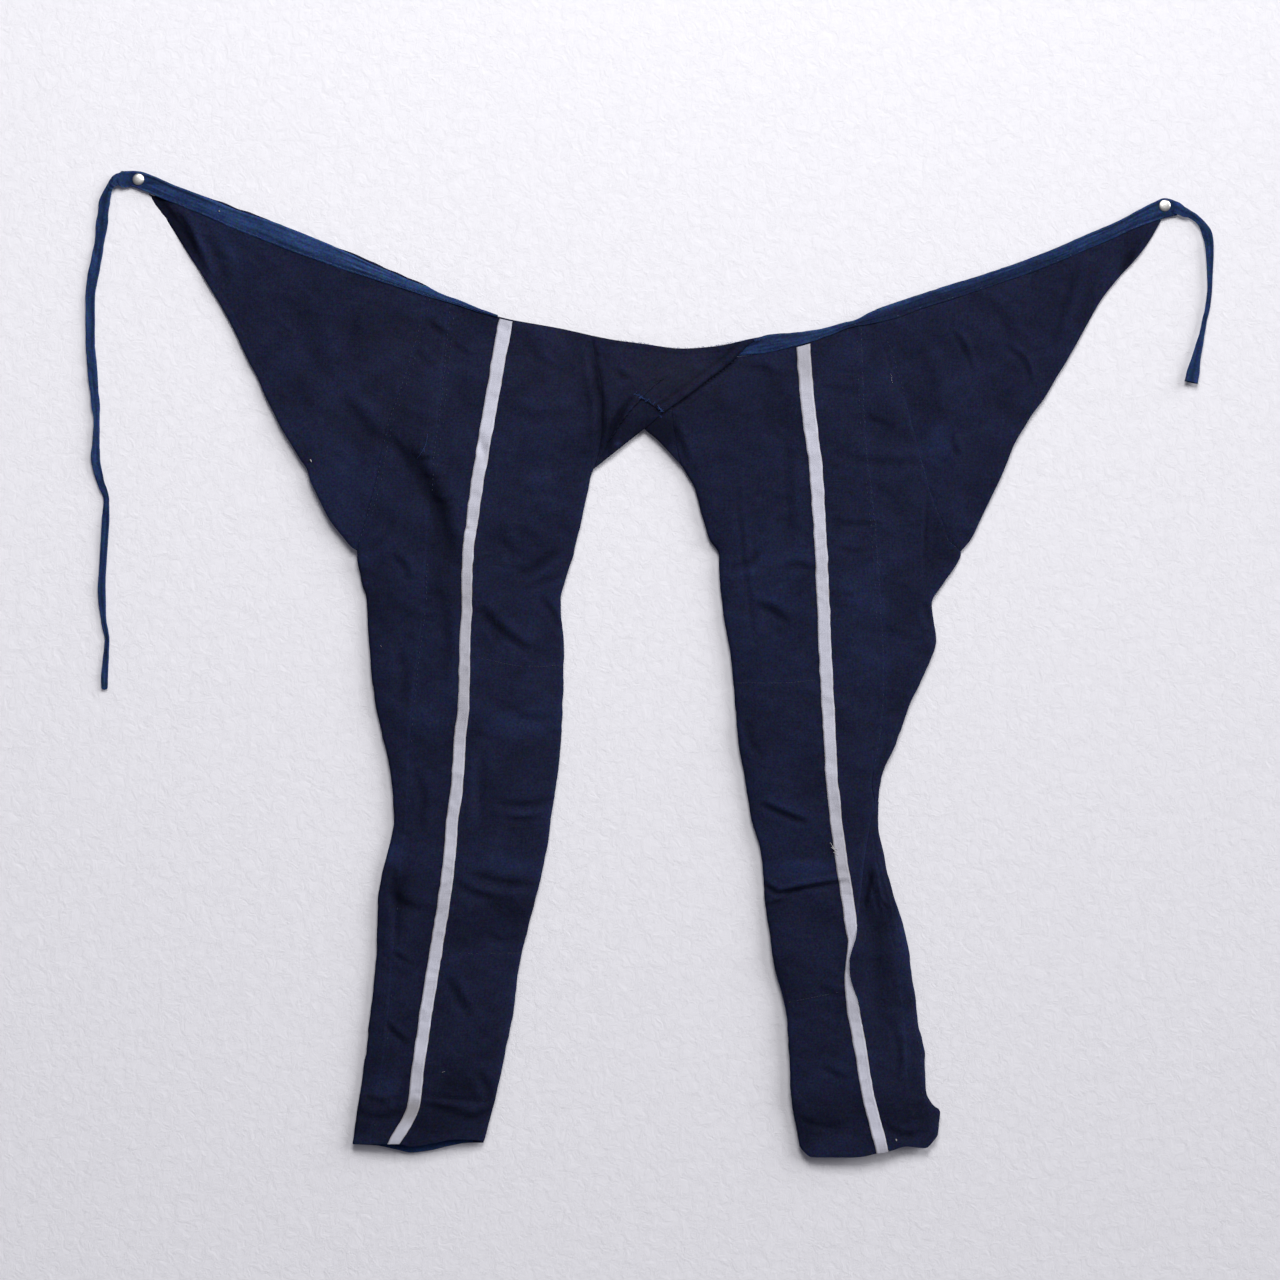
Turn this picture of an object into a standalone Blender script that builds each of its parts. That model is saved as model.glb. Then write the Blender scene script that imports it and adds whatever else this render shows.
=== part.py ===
"""Indigo cotton momohiki trousers, spread and hung flat on a wall from two drawing pins.

Metres. +Z is up, +X runs to the right as the trousers are seen, and they hang in front of the wall,
on its -Y side. The origin is where the left pin enters the wall plane, Y = 0.
"""

import math

import bmesh
import bpy
from mathutils import Vector

# Thickness of each kind of cloth, and the gap left between pieces at a seam.
CLOTH = 0.0012
TAPE_THICKNESS = 0.0010
BAND_THICKNESS = 0.0020
TIE_THICKNESS = 0.0015
FACING_THICKNESS = 0.0010
SEAM_GAP = 0.0003

# The drawing pins. The left one is at the origin; the right one is at this x and z.
PIN_RIGHT = (0.976, -0.025)
PIN_HEAD_RADIUS = 0.0056
PIN_HEAD_HEIGHT = 0.0022
PIN_RIM = 0.0006
PIN_NEEDLE_RADIUS = 0.0005
PIN_NEEDLE_LENGTH = 0.0100
PIN_TIP = -0.0125
PIN_HOLE_RADIUS = 0.0010

# How far off the wall the cloth hangs: its face at the pinned corners, and the inner side of the legs'
# backs at the middle and at the edges of a leg. The band stands this much proud of the cloth's face.
CORNER_OFF = 0.0036
BACK_OFF = 0.0042
BACK_EDGE_OFF = 0.0052
BAND_PROUD = 0.0007
BAND_CROWN = 0.0004

# How far along a leg the shape of the waist, of the hem and of a selvage seam reaches into its sections.
WAIST_REACH = 0.09
HEM_REACH = 0.07
SELVAGE_REACH = 0.06
WING_CORNER_LEFT = 0.010
WING_CORNER_RIGHT = 0.974

# How finely the walls are divided, by length down a leg and by count elsewhere.
ROW_PITCH = 0.0205
WING_COLUMNS = 15
BACK_ROWS = 22
BACK_SHARES = (0.0, 0.06, 0.2, 0.4, 0.6, 0.8, 0.94, 1.0)
BACK_INSET = 0.0006

# Sections of each leg from waist to hem. z is the height where the tape crosses it. inner, tape, seam
# and outer are the x of the inner edge, the middle of the tape, the side seam and the outer edge, and
# fold is where the round of the leg ends. width is the tape's. inner_off and outer_off say how far
# the edges stand off the wall, and swell how far the middle rounds out past them.
LEG_COLUMNS = ("z", "inner", "tape", "width", "seam", "outer", "fold", "inner_off", "outer_off", "swell")
LEG_LEFT = (
    (-0.132, 0.430, 0.350, 0.0130, 0.296, 0.273, 0.273, 0.0090, 0.0090, 0.0015),
    (-0.160, 0.435, 0.345, 0.0130, 0.293, 0.266, 0.266, 0.0090, 0.0090, 0.0020),
    (-0.195, 0.440, 0.339, 0.0128, 0.289, 0.252, 0.252, 0.0090, 0.0090, 0.0025),
    (-0.229, 0.441, 0.333, 0.0126, 0.285, 0.238, 0.238, 0.0088, 0.0090, 0.0035),
    (-0.258, 0.438, 0.328, 0.0124, 0.281, 0.231, 0.231, 0.0082, 0.0086, 0.0045),
    (-0.286, 0.429, 0.323, 0.0118, 0.279, 0.226, 0.226, 0.0070, 0.0080, 0.0058),
    (-0.324, 0.420, 0.318, 0.0113, 0.276, 0.216, 0.216, 0.0067, 0.0072, 0.0070),
    (-0.354, 0.413, 0.314, 0.0108, 0.275, 0.208, 0.208, 0.0067, 0.0067, 0.0075),
    (-0.400, 0.401, 0.313, 0.0100, 0.273, 0.217, 0.217, 0.0067, 0.0067, 0.0075),
    (-0.438, 0.404, 0.311, 0.0102, 0.268, 0.219, 0.219, 0.0067, 0.0067, 0.0075),
    (-0.495, 0.403, 0.310, 0.0106, 0.262, 0.225, 0.225, 0.0067, 0.0067, 0.0075),
    (-0.533, 0.401, 0.306, 0.0114, 0.259, 0.233, 0.233, 0.0067, 0.0067, 0.0072),
    (-0.571, 0.397, 0.304, 0.0116, 0.258, 0.241, 0.241, 0.0067, 0.0067, 0.0070),
    (-0.609, 0.391, 0.299, 0.0116, 0.256, 0.243, 0.243, 0.0067, 0.0067, 0.0070),
    (-0.647, 0.385, 0.296, 0.0116, 0.251, 0.235, 0.235, 0.0067, 0.0067, 0.0070),
    (-0.685, 0.376, 0.291, 0.0118, 0.246, 0.228, 0.228, 0.0067, 0.0067, 0.0070),
    (-0.742, 0.362, 0.282, 0.0120, 0.242, 0.226, 0.226, 0.0067, 0.0067, 0.0070),
    (-0.799, 0.354, 0.273, 0.0120, 0.238, 0.220, 0.220, 0.0067, 0.0067, 0.0070),
    (-0.856, 0.342, 0.265, 0.0120, 0.231, 0.213, 0.213, 0.0067, 0.0067, 0.0070),
    (-0.879, 0.337, 0.262, 0.0120, 0.227, 0.209, 0.209, 0.0067, 0.0067, 0.0072),
    (-0.917, 0.328, 0.243, 0.0118, 0.222, 0.204, 0.204, 0.0067, 0.0067, 0.0075),
)
LEG_RIGHT = (
    (-0.158, 0.507, 0.632, 0.0130, 0.688, 0.706, 0.706, 0.0078, 0.0090, 0.0020),
    (-0.191, 0.506, 0.634, 0.0130, 0.689, 0.720, 0.720, 0.0078, 0.0090, 0.0025),
    (-0.229, 0.508, 0.638, 0.0130, 0.691, 0.734, 0.734, 0.0076, 0.0088, 0.0035),
    (-0.267, 0.519, 0.643, 0.0126, 0.694, 0.745, 0.745, 0.0070, 0.0080, 0.0045),
    (-0.293, 0.525, 0.645, 0.0124, 0.697, 0.752, 0.750, 0.0067, 0.0070, 0.0058),
    (-0.324, 0.537, 0.647, 0.0120, 0.701, 0.763, 0.750, 0.0067, 0.0056, 0.0070),
    (-0.355, 0.551, 0.649, 0.0120, 0.703, 0.778, 0.749, 0.0067, 0.0050, 0.0075),
    (-0.403, 0.555, 0.651, 0.0120, 0.706, 0.752, 0.750, 0.0067, 0.0060, 0.0075),
    (-0.438, 0.560, 0.652, 0.0120, 0.708, 0.756, 0.756, 0.0067, 0.0067, 0.0075),
    (-0.495, 0.566, 0.655, 0.0120, 0.709, 0.733, 0.733, 0.0067, 0.0067, 0.0075),
    (-0.533, 0.570, 0.657, 0.0116, 0.705, 0.720, 0.720, 0.0067, 0.0067, 0.0072),
    (-0.571, 0.577, 0.659, 0.0116, 0.698, 0.706, 0.706, 0.0067, 0.0067, 0.0070),
    (-0.609, 0.583, 0.663, 0.0116, 0.697, 0.702, 0.702, 0.0067, 0.0067, 0.0070),
    (-0.647, 0.592, 0.668, 0.0116, 0.702, 0.711, 0.711, 0.0067, 0.0067, 0.0070),
    (-0.685, 0.596, 0.674, 0.0116, 0.709, 0.718, 0.718, 0.0067, 0.0067, 0.0070),
    (-0.723, 0.601, 0.678, 0.0116, 0.717, 0.730, 0.730, 0.0067, 0.0067, 0.0070),
    (-0.761, 0.608, 0.677, 0.0116, 0.724, 0.735, 0.735, 0.0067, 0.0067, 0.0070),
    (-0.799, 0.616, 0.681, 0.0116, 0.729, 0.740, 0.740, 0.0067, 0.0067, 0.0070),
    (-0.856, 0.620, 0.691, 0.0116, 0.732, 0.747, 0.747, 0.0067, 0.0067, 0.0070),
    (-0.903, 0.625, 0.701, 0.0116, 0.739, 0.762, 0.762, 0.0067, 0.0067, 0.0070),
    (-0.927, 0.634, 0.707, 0.0116, 0.743, 0.757, 0.757, 0.0067, 0.0067, 0.0068),
)

# Where the panels end at the top, which is the waistband's lower edge, and at the hem: x and z.
WAIST_LEFT = (
    (0.013, -0.016), (0.085, -0.046), (0.145, -0.068), (0.207, -0.089), (0.271, -0.110),
    (0.301, -0.118), (0.344, -0.131), (0.357, -0.134), (0.401, -0.142), (0.430, -0.150),
)
WAIST_RIGHT = (
    (0.507, -0.171), (0.567, -0.171), (0.594, -0.167), (0.632, -0.157), (0.660, -0.149), (0.682, -0.141),
    (0.717, -0.132), (0.743, -0.122), (0.774, -0.112), (0.822, -0.096), (0.869, -0.077),
    (0.933, -0.050), (0.970, -0.036),
)
HEM_LEFT = (
    (0.204, -0.9170), (0.225, -0.9165), (0.248, -0.9160), (0.260, -0.9185), (0.280, -0.9155),
    (0.302, -0.9120), (0.329, -0.9135),
)
HEM_RIGHT = (
    (0.630, -0.9215), (0.636, -0.9275), (0.677, -0.9290), (0.700, -0.9255), (0.730, -0.9200),
    (0.748, -0.9190), (0.763, -0.9080),
)
BACK_HEM_LEFT = (
    (0.204, -0.9175), (0.225, -0.9185), (0.245, -0.9225), (0.259, -0.9255), (0.277, -0.9235),
    (0.296, -0.9190), (0.316, -0.9160), (0.329, -0.9160),
)
# Pale seams where the inner piece's three lengths join: z at the tape, and the rise at the inner edge.
SELVAGE_LEFT = ((-0.4545, -0.0075), (-0.7355, 0.0000))
SELVAGE_RIGHT = ((-0.4765, -0.0025), (-0.7740, -0.0095))

# The wings' free edges, from the pinned corner down to the leg, and the waistband's top edges: x and z.
WING_EDGE_LEFT = (
    (0.013, -0.019), (0.039, -0.058), (0.075, -0.115), (0.114, -0.191), (0.155, -0.267),
    (0.181, -0.324), (0.196, -0.344), (0.208, -0.354),
)
WING_EDGE_RIGHT = (
    (0.970, -0.039), (0.958, -0.062), (0.947, -0.077), (0.915, -0.115), (0.881, -0.172),
    (0.844, -0.229), (0.825, -0.267), (0.797, -0.324), (0.778, -0.355),
)
BAND_TOP_LEFT = (
    (-0.010, 0.0080), (0.000, 0.0085), (0.013, 0.0015), (0.035, -0.011), (0.073, -0.023), (0.124, -0.042),
    (0.173, -0.062), (0.218, -0.081), (0.263, -0.098), (0.287, -0.108), (0.303, -0.114), (0.342, -0.1280),
)
BAND_LOW_LEFT = ((-0.010, -0.0075), (0.000, -0.0105)) + WAIST_LEFT[:6] + ((0.342, -0.1302),)
BAND_TOP_RIGHT = (
    (0.555, -0.1620), (0.578, -0.157), (0.616, -0.149), (0.648, -0.142), (0.680, -0.134), (0.727, -0.115),
    (0.784, -0.096), (0.844, -0.077), (0.891, -0.058), (0.933, -0.039), (0.969, -0.0195), (0.981, -0.0185),
)
BAND_LOW_RIGHT = ((0.555, -0.1705),) + WAIST_RIGHT[2:] + ((0.981, -0.0325),)
FACING_RISE = ((0.016, 0.0020), (0.073, 0.0030), (0.218, 0.0030), (0.287, 0.0005))

# The crossing seat pieces in the middle, as edges of x and z.
FLAP_TOP = ((0.4303, -0.151), (0.477, -0.157), (0.507, -0.1595), (0.545, -0.1590), (0.578, -0.157))
FLAP_FOLD = ((0.578, -0.157), (0.539, -0.187), (0.497, -0.218))
GUSSET_SEAM = ((0.431, -0.277), (0.440, -0.263), (0.456, -0.234), (0.473, -0.204))
GUSSET_TOP = ((0.473, -0.204), (0.497, -0.218))
GUSSET_LOW = ((0.431, -0.277), (0.482, -0.237))
UNDER_LEFT = (
    (0.437, -0.168), (0.458, -0.200), (0.481, -0.238), (0.491, -0.248), (0.510, -0.267), (0.517, -0.276),
)
# The flap rises this far in front of the right leg over its reach, and the pieces under it lie behind it.
FLAP_RISE = 0.0034
FLAP_REACH = 0.14
GUSSET_BEHIND = 0.0016
UNDER_BEHIND = 0.0032

# The turned-over cloth below the right knee. fold is the upper piece's edge; left is the lower piece's
# own edge, full is the x up to which it keeps its lift in front of (or, negative, behind) the leg's face.
KNEE_FOLD = ((-0.571, 0.7060), (-0.605, 0.6970), (-0.656, 0.6885), (-0.690, 0.6862), (-0.706, 0.6850))
CALF_COLUMNS = ("z", "left", "full", "lift")
CALF = (
    (-0.592, 0.6920, 0.7005, -0.0020),
    (-0.610, 0.6890, 0.6990, -0.0020),
    (-0.656, 0.6810, 0.6905, -0.0026),
    (-0.680, 0.6800, 0.6890, -0.0032),
    (-0.692, 0.6845, 0.6890, -0.0024),
    (-0.700, 0.6878, 0.6885, -0.0010),
    (-0.709, 0.6872, 0.6885, 0.0012),
    (-0.718, 0.6840, 0.6880, 0.0030),
    (-0.735, 0.6790, 0.6860, 0.0034),
    (-0.750, 0.6780, 0.6850, 0.0034),
    (-0.762, 0.6792, 0.6850, 0.0032),
    (-0.772, 0.6848, 0.6870, 0.0030),
    (-0.782, 0.6864, 0.6880, 0.0014),
    (-0.800, 0.6876, 0.6890, 0.0000),
)
# Heights on the right leg: below CALF_BESIDE the turned cloth lies beside the tape, its gusset ends at
# GUSSET_END, the upper strip ends at KNEE_END, and the turned cloth is clear of it at KNEE_CLEAR.
CALF_BESIDE = -0.775
CALF_FADE = 0.012
GUSSET_END = -0.585
KNEE_END = -0.706
KNEE_CLEAR = -0.720

# Heights of the forks, where a wing's free edge meets its leg, and of the crotch. The legs' backs start
# there, along a line from the inner edge to the outer edge: x and z of both ends.
FORK_LEFT = -0.354
FORK_RIGHT = -0.355
CROTCH = -0.277
BACK_TOP_LEFT = ((0.430, -0.283), (0.208, -0.360))
BACK_TOP_RIGHT = ((0.525, -0.284), (0.750, -0.408))

# The lighter strip inside the back of the left hem: its first and last x, and its top.
HEM_FACING_SPAN = (0.226, 0.318)
HEM_FACING_TOP = -0.902

# The largest creases: each runs through up to three points of x and z, and is so deep and so wide.
CREASE_COLUMNS = ("start", "middle", "end", "depth", "width")
CREASES = (
    ((0.238, -0.233), (0.273, -0.290), (0.304, -0.372), 0.0030, 0.012),
    ((0.252, -0.225), (0.290, -0.285), (0.318, -0.360), -0.0016, 0.014),
    ((0.360, -0.380), (0.380, -0.369), (0.399, -0.354), 0.0022, 0.011),
    ((0.324, -0.408), (0.346, -0.432), (0.372, -0.449), 0.0022, 0.011),
    ((0.328, -0.542), (0.326, -0.580), (0.328, -0.614), 0.0018, 0.011),
    ((0.340, -0.594), (0.370, -0.592), (0.394, -0.590), 0.0018, 0.011),
    ((0.312, -0.660), (0.345, -0.668), (0.379, -0.673), 0.0020, 0.011),
    ((0.292, -0.758), (0.306, -0.778), (0.316, -0.798), 0.0018, 0.011),
    ((0.556, -0.371), (0.572, -0.366), (0.589, -0.354), 0.0024, 0.011),
    ((0.586, -0.405), (0.601, -0.414), (0.614, -0.422), 0.0018, 0.011),
    ((0.596, -0.670), (0.630, -0.666), (0.666, -0.666), 0.0024, 0.011),
    ((0.600, -0.655), (0.630, -0.651), (0.660, -0.652), -0.0014, 0.011),
    ((0.771, -0.143), (0.782, -0.160), (0.793, -0.184), 0.0018, 0.011),
    ((0.883, -0.099), (0.874, -0.122), (0.867, -0.146), 0.0018, 0.011),
)

# The ties, from where each is sewn to its band: the middle line's x and z, its width, how far it hangs
# off the wall and how far it is turned about its own length, in radians.
TIE_COLUMNS = ("x", "z", "width", "off", "turn")
TIE_LEFT = (
    (-0.0103, 0.0003, 0.0148, 0.0040, 0.0),
    (-0.0220, 0.0000, 0.0110, 0.0060, 0.1),
    (-0.0310, -0.0120, 0.0100, 0.0080, 0.3),
    (-0.0350, -0.0340, 0.0095, 0.0070, 0.2),
    (-0.0380, -0.0580, 0.0095, 0.0050, 0.1),
    (-0.0450, -0.0960, 0.0090, 0.0045, 0.0),
    (-0.0470, -0.1340, 0.0085, 0.0045, 0.0),
    (-0.0460, -0.1720, 0.0085, 0.0050, -0.1),
    (-0.0420, -0.2100, 0.0078, 0.0060, -0.2),
    (-0.0410, -0.2480, 0.0070, 0.0065, -0.3),
    (-0.0410, -0.2720, 0.0068, 0.0065, -0.2),
    (-0.0310, -0.3050, 0.0060, 0.0075, 0.3),
    (-0.0330, -0.3430, 0.0062, 0.0070, 0.2),
    (-0.0360, -0.3900, 0.0066, 0.0060, 0.0),
    (-0.0335, -0.4210, 0.0050, 0.0060, 0.3),
    (-0.0300, -0.4380, 0.0050, 0.0060, 0.2),
    (-0.0320, -0.4620, 0.0055, 0.0055, 0.1),
    (-0.0330, -0.4850, 0.0055, 0.0050, 0.0),
)
TIE_RIGHT = (
    (0.9813, -0.0255, 0.0130, 0.0040, 0.0),
    (0.9930, -0.0300, 0.0095, 0.0060, 0.2),
    (1.0080, -0.0405, 0.0085, 0.0080, 0.3),
    (1.0160, -0.0550, 0.0090, 0.0080, 0.2),
    (1.0180, -0.0820, 0.0080, 0.0070, 0.0),
    (1.0165, -0.1150, 0.0055, 0.0065, -0.5),
    (1.0120, -0.1430, 0.0060, 0.0065, -0.4),
    (1.0050, -0.1700, 0.0095, 0.0070, -0.1),
    (1.0000, -0.1940, 0.0125, 0.0075, 0.0),
)

# Name, colour, roughness and metallic value of each finish.
INDIGO = ("indigo_cotton", (0.013, 0.015, 0.040, 1.0), 0.92, 0.0)
FADED = ("faded_indigo_cotton", (0.018, 0.038, 0.115, 1.0), 0.90, 0.0)
PALE = ("pale_tape", (0.48, 0.49, 0.55, 1.0), 0.90, 0.0)
STEEL = ("nickel_steel", (0.70, 0.71, 0.72, 1.0), 0.25, 1.0)


def clamp(value, low=0.0, high=1.0):
    return min(max(value, low), high)


def ease(t):
    t = clamp(t)
    return t * t * (3.0 - 2.0 * t)


def mix(a, b, t):
    return a + (b - a) * t


def spline(low, first, second, high, t):
    """A smooth curve between two neighbouring values, which looks at the ones before and after."""
    return 0.5 * (
        2.0 * first
        + (second - low) * t
        + (2.0 * low - 5.0 * first + 4.0 * second - high) * t * t
        + (3.0 * first - low - 3.0 * second + high) * t * t * t
    )


def reading(pairs, at):
    """The value at a place on a curve given as pairs of place and value, in rising or falling order."""
    if pairs[0][0] > pairs[-1][0]:
        pairs = pairs[::-1]
    at = clamp(at, pairs[0][0], pairs[-1][0])
    k = 0
    while k < len(pairs) - 2 and at > pairs[k + 1][0]:
        k += 1
    t = (at - pairs[k][0]) / (pairs[k + 1][0] - pairs[k][0])
    return mix(pairs[k][1], pairs[k + 1][1], t)


def along(points, t, smooth=True):
    """The point a fraction t of the way along a line of points."""
    lengths = [0.0]
    for a, b in zip(points, points[1:]):
        lengths.append(lengths[-1] + math.dist(a, b))
    reach = clamp(t) * lengths[-1]
    k = 0
    while k < len(points) - 2 and reach > lengths[k + 1]:
        k += 1
    t = (reach - lengths[k]) / (lengths[k + 1] - lengths[k])
    if not smooth:
        return tuple(mix(a, b, t) for a, b in zip(points[k], points[k + 1]))
    before = points[max(k - 1, 0)]
    after = points[min(k + 2, len(points) - 1)]
    return tuple(spline(*values, t) for values in zip(before, points[k], points[k + 1], after))


class Leg:
    """One half of the trousers: its sections, the lines where its panels end, and the lie of its cloth."""

    def __init__(self, rows, waist, hem, selvage, corner):
        self.columns = {
            name: [(row[0], row[k]) for row in rows] for k, name in enumerate(LEG_COLUMNS)
        }
        self.top = rows[0][0]
        self.bottom = rows[-1][0]
        self.waist = waist
        self.hem = hem
        self.selvage = selvage
        self.corner = corner
        self.outward = 1.0 if corner > rows[0][1] else -1.0

    def at(self, name, z):
        return reading(self.columns[name], clamp(z, self.bottom, self.top))

    def height(self, x, z, hem=None):
        """The real height of a section at x: it follows the waist at the top and the hem at the bottom."""
        level = z
        near_waist = ease(1.0 - (self.top - z) / WAIST_REACH)
        near_hem = ease(1.0 - (z - self.bottom) / HEM_REACH)
        level += near_waist * (reading(self.waist, x) - self.top)
        level += near_hem * (reading(hem or self.hem, x) - self.bottom)
        across = clamp((x - self.at("tape", z)) / (self.at("inner", z) - self.at("tape", z)))
        for seam_z, rise in self.selvage:
            level += rise * across * max(0.0, 1.0 - abs(z - seam_z) / SELVAGE_REACH)
        return level

    def off(self, x, z):
        """How far the face of the cloth stands off the wall at x and z, without its creases."""
        outer = self.at("outer", z)
        if (x - outer) * self.outward > 0.0:
            t = (x - self.corner) / (outer - self.corner)
            return mix(CORNER_OFF, self.at("outer_off", z), ease(t))
        inner = self.at("inner", z)
        fold = self.at("fold", z)
        s = clamp((x - inner) / (fold - inner))
        edge = mix(self.at("inner_off", z), self.at("outer_off", z), s)
        return edge + self.at("swell", z) * math.sin(math.pi * s) ** 0.45


def crease(x, z):
    """How far the creases move the face towards the wall at x and z."""
    total = 0.0
    for row in CREASES:
        fold = dict(zip(CREASE_COLUMNS, row))
        nearest = 1.0
        strength = 0.0
        line = (fold["start"], fold["middle"], fold["end"])
        for k, (a, b) in enumerate(zip(line, line[1:])):
            run = Vector((b[0] - a[0], b[1] - a[1]))
            t = clamp(run.dot(Vector((x - a[0], z - a[1]))) / run.length_squared)
            gap = math.dist((mix(a[0], b[0], t), mix(a[1], b[1], t)), (x, z))
            if gap < nearest:
                nearest = gap
                strength = math.sin(math.pi * clamp((k + t) / 2.0, 0.06, 0.94))
        total += fold["depth"] * strength * math.exp(-((nearest / fold["width"]) ** 2))
    return total


LEFT = Leg(LEG_LEFT, WAIST_LEFT, HEM_LEFT, SELVAGE_LEFT, WING_CORNER_LEFT)
RIGHT = Leg(LEG_RIGHT, WAIST_RIGHT, HEM_RIGHT, SELVAGE_RIGHT, WING_CORNER_RIGHT)


def face(leg, x, z, proud=0.0):
    """The point of the cloth's face at x and z, moved out in front of it by proud."""
    return Vector((x, crease(x, z) - leg.off(x, z) - proud, z))


def finish(name, colour, roughness, metallic):
    material = bpy.data.materials.new(name)
    material.use_nodes = True
    shader = material.node_tree.nodes["Principled BSDF"]
    shader.inputs["Base Color"].default_value = colour
    shader.inputs["Roughness"].default_value = roughness
    shader.inputs["Metallic"].default_value = metallic
    material.diffuse_color = colour
    return material


def new_collection(name, hidden=False):
    collection = bpy.data.collections.new(name)
    bpy.context.scene.collection.children.link(collection)
    collection.hide_render = hidden
    return collection


def place(name, mesh, material, collection, smooth_angle=60.0):
    mesh.materials.append(material)
    mesh.shade_smooth()
    mesh.set_sharp_from_angle(angle=math.radians(smooth_angle))
    item = bpy.data.objects.new(name, mesh)
    collection.objects.link(item)
    return item


def cloth(name, across, down, point, thickness, material, collection):
    """A wall of cloth: a grid whose corner i, j is at point(i, j), with its thickness on the wall's side."""
    bm = bmesh.new()
    bmesh.ops.create_grid(bm, x_segments=across, y_segments=down, size=0.5)
    for vertex in bm.verts:
        i = round((vertex.co.x + 0.5) * across)
        j = round((0.5 - vertex.co.y) * down)
        vertex.co = point(i, j)
    mesh = bpy.data.meshes.new(name)
    bm.to_mesh(mesh)
    bm.free()
    item = place(name, mesh, material, collection)
    wall = item.modifiers.new("thickness", "SOLIDIFY")
    wall.thickness = thickness
    wall.offset = -1.0
    return item


def quilt(name, across, down, top, bottom, left, right, off, material, collection, thickness=CLOTH):
    """A four-sided piece filled in between its edges. Each edge is a function from 0 to 1."""

    def point(i, j):
        u = i / across
        v = j / down
        corners = (top(0.0), top(1.0), bottom(0.0), bottom(1.0))
        x, z = (
            (1 - v) * top(u)[k] + v * bottom(u)[k] + (1 - u) * left(v)[k] + u * right(v)[k]
            - (1 - u) * (1 - v) * corners[0][k] - u * (1 - v) * corners[1][k]
            - (1 - u) * v * corners[2][k] - u * v * corners[3][k]
            for k in (0, 1)
        )
        return Vector((x, -off(x, z), z))

    return cloth(name, across, down, point, thickness, material, collection)


def leg_x(leg, name):
    return lambda z: leg.at(name, z)


def tape_edge(leg, side):
    """The x of the tape's left (side -1) or right (side 1) edge."""
    return lambda z: leg.at("tape", z) + side * leg.at("width", z) / 2


def between(a, b, shares):
    return [lambda z, t=t: mix(a(z), b(z), t) for t in shares]


def calf_column(name, z):
    return reading([(row[0], row[CALF_COLUMNS.index(name)]) for row in CALF], z)


def calf_left(z):
    """The turned cloth's own edge: over the tape at the twist, and beside it lower down."""
    beside = tape_edge(RIGHT, 1)(z) + SEAM_GAP + 0.0001
    return mix(calf_column("left", z), beside, ease((CALF_BESIDE - z) / 0.02))


def calf_lift(x, z):
    fade = 1.0 - ease((x - calf_column("full", z)) / CALF_FADE)
    return calf_column("lift", z) * fade


def knee_edge(z):
    """The right leg's outer strip ends at the side seam, and below it at the fold of the twist."""
    return mix(RIGHT.at("seam", z), reading(KNEE_FOLD, z), ease((KNEE_FOLD[0][0] - z) / 0.03))


def gusset_edge(z):
    return RIGHT.at("outer", z) if z > KNEE_FOLD[0][0] else reading(KNEE_FOLD, z)


def right_join(z):
    """The right leg's front strips meet under the middle of the tape, and under its edge below the twist."""
    return mix(RIGHT.at("tape", z), tape_edge(RIGHT, 1)(z), ease((KNEE_END - z) / 0.012))


def strip(name, leg, heights, stations, material, collection, proud=0.0, thickness=CLOTH, lift=None):
    """A piece that runs down a leg. Each station is a line down the leg, from the piece's left to right."""
    last = len(stations) - 1

    def point(i, j):
        x = stations[i](heights[j]) + SEAM_GAP / 2 * ((i == 0) - (i == last))
        z = min(leg.height(x, heights[j]), reading(leg.waist, x) - SEAM_GAP)
        return face(leg, x, z, proud + (lift(x, z) if lift else 0.0))

    return cloth(name, last, len(heights) - 1, point, thickness, material, collection)


def span(heights, high, low):
    """The section heights from high down to low, with a seam's half gap left at each end."""
    inside = [z for z in heights if low + 0.003 < z < high - 0.003]
    return [high - SEAM_GAP / 2] + inside + [low + SEAM_GAP / 2]


def section_heights(leg, breaks):
    heights = [leg.top]
    stops = sorted([leg.bottom, *breaks], reverse=True)
    for low in stops:
        high = heights[-1]
        count = max(1, round((high - low) / ROW_PITCH))
        heights += [mix(high, low, (k + 1) / count) for k in range(count)]
    return heights


def build_inner_lengths(side, leg, heights, stations, material, collection):
    """The inner piece, joined from three lengths at its selvages."""
    breaks = [leg.top, *(z for z, _ in leg.selvage), leg.bottom]
    for name, high, low in zip(("upper", "middle", "lower"), breaks, breaks[1:]):
        strip(f"inner_front_{name}_{side}", leg, span(heights, high, low), stations, material, collection)


def build_wing(side, leg, edge, heights, fork, material, collection):
    """The three-cornered wing between the band, the wing seam and its own free edge."""
    rows = [z for z in heights if z > fork - 0.001]
    down = len(rows) - 1
    outward = leg.outward
    corner = edge[0]
    waist = sorted(leg.waist, key=lambda spot: abs(spot[0] - corner[0]))
    seam_top_x = leg.at("outer", leg.top)
    waist = [spot for spot in waist if (spot[0] - seam_top_x) * outward > 0.001]
    top_line = waist + [(seam_top_x, reading(leg.waist, seam_top_x))]

    def top(t):
        x, z = along(top_line, t, smooth=False)
        return x, z - SEAM_GAP

    def seam(t):
        z = rows[round(t * down)]
        x = leg.at("outer", z) + outward * SEAM_GAP / 2
        return x, min(leg.height(x, z), reading(leg.waist, x) - SEAM_GAP)

    def free(t):
        x, z = along(edge, t)
        return x + outward * SEAM_GAP / 2 * (t > 0.99), z

    def tip(t):
        return mix(top_line[0][0], corner[0], t), mix(top_line[0][1] - SEAM_GAP, corner[1], t)

    sides = (tip, seam) if outward < 0 else (seam, tip)

    def turned(line):
        return line if outward < 0 else lambda t: line(1.0 - t)

    def off(x, z):
        return leg.off(x, z) - crease(x, z)

    quilt(
        f"wing_{side}", WING_COLUMNS, down, turned(top), turned(free), *sides, off, material, collection
    )


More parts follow.
